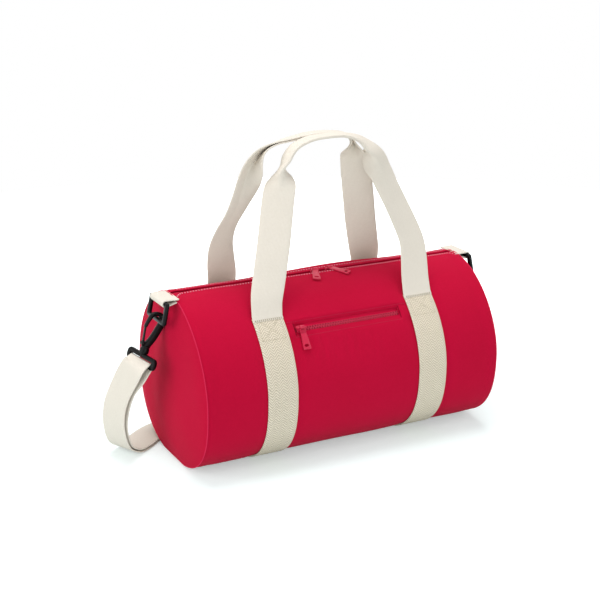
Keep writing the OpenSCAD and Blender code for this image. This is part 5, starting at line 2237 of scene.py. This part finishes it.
@dataclass
class ShoulderStrap:
    """The strap's webbing, its adjuster and the sewn loop on it."""

    hangers: Hangers = field(default_factory=Hangers)
    bow: float = 66 * MM
    back: float = 100 * MM
    adjuster_x: float = -40 * MM
    loop_len: float = 24 * MM
    adjuster_bar: float = 2.6 * MM
    rise_from: float = 130 * MM
    rise_over: float = 40 * MM
    outer_lean: float = 32.0
    inner_lean: float = 17.0
    straight: float = 11 * MM
    split_x: float = -150 * MM
    off_floor: float = 20 * MM
    outer: Table = (
        (0.9, 0.11, 0.76, 15),
        (1, 0.2, 0.54, 18),
        (0.99, 0.27, 0.32, 21),
        (0.87, 0.34, 0.12, 24),
        (0.66, 0.42, 0.025, 26),
        (0.42, 0.52, 0, 27),
        (-0.05, 0.76, 0, 26),
        (-0.48, 0.84, 0, 20),
        (-0.95, 0.96, 0, 10),
        (-1.4, 1, 0, 0),
        (-1.8, 1, 0, 0),
        (-2.8, 1, 0, 0),
    )
    inner: Table = (
        (0.82, 0.11, 0.76, 15),
        (0.925, 0.2, 0.545, 18),
        (0.94, 0.27, 0.336, 21),
        (0.838, 0.34, 0.142, 24),
        (0.65, 0.42, 0.052, 26),
        (0.42, 0.52, 0.03, 27),
        (-0.05, 0.76, 0.02, 26),
        (-0.48, 0.84, 0.03, 20),
        (-0.95, 0.96, 0.03, 10),
        (-1.4, 1, 0.03, 0),
        (-1.8, 1, 0.03, 0),
    )

    def __post_init__(self) -> None:
        """Works out the eye's directions and the layers' heights."""
        h = self.hangers
        turn = math.radians(h.eye_turn)
        self.eye_down, eye_side = downwards(h.hook_tilt), h.hook_axes()[0]
        self.eye_along = -math.sin(turn) * eye_side + math.cos(turn) * -ACROSS
        self.eye_out = np.cross(self.eye_down, self.eye_along)
        eye_r = h.eye_bar / 2
        yoke_y = -h.hook_len - h.swivel_len - 0.3 * MM - eye_r
        self.eye_at = h.ring_low + h.foot_x * eye_side + (h.eye_drop - yoke_y) * self.eye_down
        self.lie = FORM.web_t / 2 + FORM.floor_gap
        self.lift = self.adjuster_bar + 0.3 * MM
        self.layer = FORM.web_t + 0.3 * MM
        self.wrap_r = eye_r + 0.45 * MM + FORM.web_t / 2

    def strap_row(self, s: Sequence[float], under: float = 0.0) -> Array:
        """Turns one row of shares into a place, a turn and a lean."""
        x = -FORM.length / 2 - self.bow * s[0]
        z = max(self.lie + under, self.lie + (self.eye_at[2] - self.lie) * s[2])
        tab_y = self.hangers.tab_y
        lifted = self.lift * min(max((self.rise_from - abs(x)) / self.rise_over, 0), 1)
        return np.array([x, tab_y + (self.back - tab_y) * s[1], z + lifted, s[3], 0.0])

    def wrap_at(self, angle: float) -> Array:
        """Returns a place on the wrap round the eye's bar."""
        a = math.radians(angle)
        way = math.cos(a) * self.eye_out + math.sin(a) * self.eye_down
        return self.eye_at - self.wrap_r * way

    def eye_row(self, angle: float, lean: float, down: float = 0.0) -> Array:
        """Returns a row of a run that leaves the wrap."""
        a = math.radians(lean)
        p = self.wrap_at(angle) + down * (math.sin(a) * self.eye_out + math.cos(a) * self.eye_down)
        return np.array([p[0], p[1], p[2], self.hangers.eye_turn, self.eye_along[2]])

    def rows(self, angle: float, lean: float, shares: Table, under: float = 0.0) -> Array:
        """Lists the rows of one run of the left half.

        Args:
            angle: Where the run leaves the wrap, in degrees.
            lean: How far it leans there, in degrees.
            shares: The run's own table.
            under: Height of the layers below it.

        Returns:
            The run's rows, from the wrap down and over the floor.
        """
        leaving = [self.eye_row(angle, lean, down) for down in (0.0, self.straight)]
        return np.array(leaving + [self.strap_row(s, under) for s in shares])

    def run(self, rows: Array, steps: int = 6) -> list[Station]:
        """Sweeps the stations of a run of webbing through its rows."""
        stations = []
        for i in range(steps * (len(rows) - 1) + 1):
            r = curve_at(rows, i / steps)
            a = math.radians(r[3])
            stations.append(Station(r[:3].copy(), np.array([math.sin(a), -math.cos(a), r[4]])))
        return stations

    def right_half(self, stations: Sequence[Station]) -> list[Station]:
        """Mirrors stations to the right, further back where they near the right tab."""
        made = []
        for s in stations:
            back = self.hangers.right_shift * min(1.0, s.place[2] / (self.eye_at[2] - 22 * MM))
            made.append(Station(s.place * MIRROR + ACROSS * back, s.across * MIRROR))
        return made

    def build(self, frame: dict) -> None:
        """Models the strap, its return run, the adjuster and the sewn loop."""
        start, stop = -self.inner_lean, 180 - self.outer_lean
        inner_rows = self.rows(start, self.inner_lean, self.inner, self.layer)
        left_inner = self.run(inner_rows)
        left_outer = self.run(self.rows(stop, self.outer_lean, self.outer))
        wrap = [
            Station(self.wrap_at(start + (stop - start) * i / 10), self.eye_along)
            for i in range(1, 10)
        ]
        floor = self.off_floor
        near = [s for s in left_inner if s.place[0] < self.split_x or s.place[2] > floor]
        loop_end = self.adjuster_x - self.loop_len
        far = [
            s for s in left_inner
            if near[-1].place[0] <= s.place[0] < loop_end - 2 * MM and s.place[2] < floor
        ]
        end_at = np.array([loop_end - 0.1 * MM, self.back, self.lie + self.layer + self.lift])
        far.append(Station(end_at, -ACROSS))
        left = near[::-1] + wrap + left_outer
        right = self.right_half((self.run(inner_rows[:4])[::-1] + wrap + left_outer)[::-1])
        strap = webbing("shoulder_webbing", left + right)
        dress(strap, FINISH.strap, "strap_body", ["shoulder_strap"])
        long, back = (run_lengths(np.array([s.place for s in r]))[-1] for r in (left + right, far))
        LOG.info("strap webbing is %.3f m long, with its return run %.3f m", long, long + back)
        back_run = webbing("strap_return_run", [near[-1]] + far[1:])
        dress(back_run, FINISH.strap, None, ())
        tuple(near[-1].place)
        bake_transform(back_run)
        self.build_adjuster(frame)

    def build_adjuster(self, frame: dict) -> None:
        """Models the adjuster and the webbing sewn round its middle bar."""
        body = copy_of_node(frame["nodes"]["strap_adjuster"], "adjuster_frame")
        round_edges(body, 0.6 * MM, 40)
        dress(body, FINISH.black, "adjuster_body", ["strap_adjuster"])
        radius = self.adjuster_bar / 2 + 0.3 * MM + FORM.web_t / 2
        mid_z = self.lie + self.lift + self.layer + radius
        low = mid_z - radius
        x0 = self.adjuster_x
        places = [
            (x0 - self.loop_len + 0.6 * MM, low),
            (x0 - self.loop_len * 0.6, low),
            (x0 - self.loop_len * 0.25, low),
        ]
        for a in np.linspace(-90, 100, 11):
            w = math.radians(a)
            places.append((x0 + radius * math.cos(w), mid_z + radius * math.sin(w)))
        sewn = low + FORM.web_t + 0.1 * MM
        places += [
            (x0 - self.loop_len * 0.28, low + FORM.web_t * 1.9),
            (x0 - self.loop_len * 0.55, sewn),
            (x0 - self.loop_len * 0.95, sewn),
        ]
        stations = [Station(np.array([x, self.back, z]), ACROSS) for x, z in places]
        loop = webbing("adjuster_loop_webbing", stations)
        dress(loop, FINISH.strap, "adjuster_body", ["adjuster_loop"])


def facing(place: Sequence[float], goal: Sequence[float]) -> Euler:
    """Returns the turn of a lamp or camera at place that looks at goal."""
    return (Vector(goal) - Vector(place)).to_track_quat("-Z", "Y").to_euler()


@dataclass
class Studio:
    """The floor, the soft lights, the white surround and the camera."""

    eye: tuple[float, float, float] = (-0.71978, -1.33262, 0.65150)
    look: tuple[float, float, float] = (-0.02492, 0.0, 0.17004)
    lens: float = 78.58
    ambient: float = 0.4
    floor_r: float = 1.45
    floor_colour: Colour = (0.74, 0.83, 0.83, 1.0)
    glow_reach: tuple[float, float] = (0.24, 0.7)
    glow_near: float = 0.33
    lamps: tuple[tuple[str, tuple[float, float, float], float, float], ...] = (
        ("key", (-0.1, -2.6, 0.6), 1.8, 20.0),
        ("side", (-2.2, -0.1, 0.8), 2.2, 30.0),
        ("top", (0.1, 0.4, 2.3), 1.8, 42.0),
        ("fill", (2.0, -1.2, 1.0), 1.6, 6.0),
    )

    def build(self) -> None:
        """Sets up everything round the bag."""
        self.build_floor()
        self.build_world()
        self.build_lights()
        self.build_camera()

    def build_floor(self) -> None:
        """Lays the pale floor, which shows white and keeps the shadow."""
        bpy.ops.mesh.primitive_circle_add(vertices=96, radius=self.floor_r, fill_type="NGON")
        floor = bpy.context.object
        floor.name = "floor"
        made, shader = new_material("pale_floor")
        matte = shader.node("BsdfDiffuse", {"Color": self.floor_colour})
        # Away from the bag the floor turns as white as the surround
        away = shader.node(
            "VectorMath", {0: shader.node("TexCoord").outputs["Object"]}, operation="LENGTH"
        )
        near, far = self.glow_reach
        share = shader.node(
            "MapRange",
            {
                "Value": away.outputs["Value"], "From Min": near, "From Max": far,
                "To Min": self.glow_near, "To Max": 1.0,
            },
            interpolation_type="SMOOTHSTEP",
        )
        strength = shader.times(shader.seen(), share.outputs["Result"])
        glow = shader.node("Emission", {"Strength": strength})
        both = shader.node("AddShader", {0: matte.outputs[0], 1: glow.outputs[0]})
        shader.node("OutputMaterial", {"Surface": both.outputs[0]})
        floor.data.materials.append(made)

    def build_world(self) -> None:
        """Makes the surround white to the camera and soft to the bag."""
        world = bpy.data.worlds.new("surround")
        bpy.context.scene.world = world
        world.use_nodes = True
        shader = Shader(world.node_tree)
        level = shader.plus(self.ambient, shader.times(shader.seen(), 1.0 - self.ambient))
        back = shader.node("Background", {"Strength": level, "Color": (1, 1, 1, 1)})
        shader.node("OutputWorld", {"Surface": back.outputs[0]})

    def build_lights(self) -> None:
        """Hangs the soft lamps."""
        for name, place, size, power in self.lamps:
            light = bpy.data.lights.new(name, "AREA")
            light.size = size
            light.energy = power
            lamp = bpy.data.objects.new(name, light)
            lamp.location = place
            lamp.rotation_euler = facing(place, (0, 0, 0.1))
            bpy.context.scene.collection.objects.link(lamp)

    def build_camera(self) -> None:
        """Stands the camera where the photograph was taken."""
        data = bpy.data.cameras.new("view")
        data.lens = self.lens
        data.sensor_width = 36.0
        camera = bpy.data.objects.new("view", data)
        camera.location = self.eye
        camera.rotation_euler = facing(self.eye, self.look)
        bpy.context.scene.collection.objects.link(camera)
        bpy.context.scene.camera = camera
        bpy.context.scene.view_settings.view_transform = "Standard"


def main() -> None:
    """Builds the whole bag round the CAD frame."""
    logging.basicConfig(level=logging.INFO, format="%(name)s: %(message)s")
    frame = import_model()
    Studio().build()
    CanvasBarrel().build()
    EndPanels().build()
    Bands().build()
    Handles().build()
    MainZip().build()
    FrontPocket().build()
    Hangers().build()
    ShoulderStrap().build(frame)


if __name__ == "__main__":
    main()
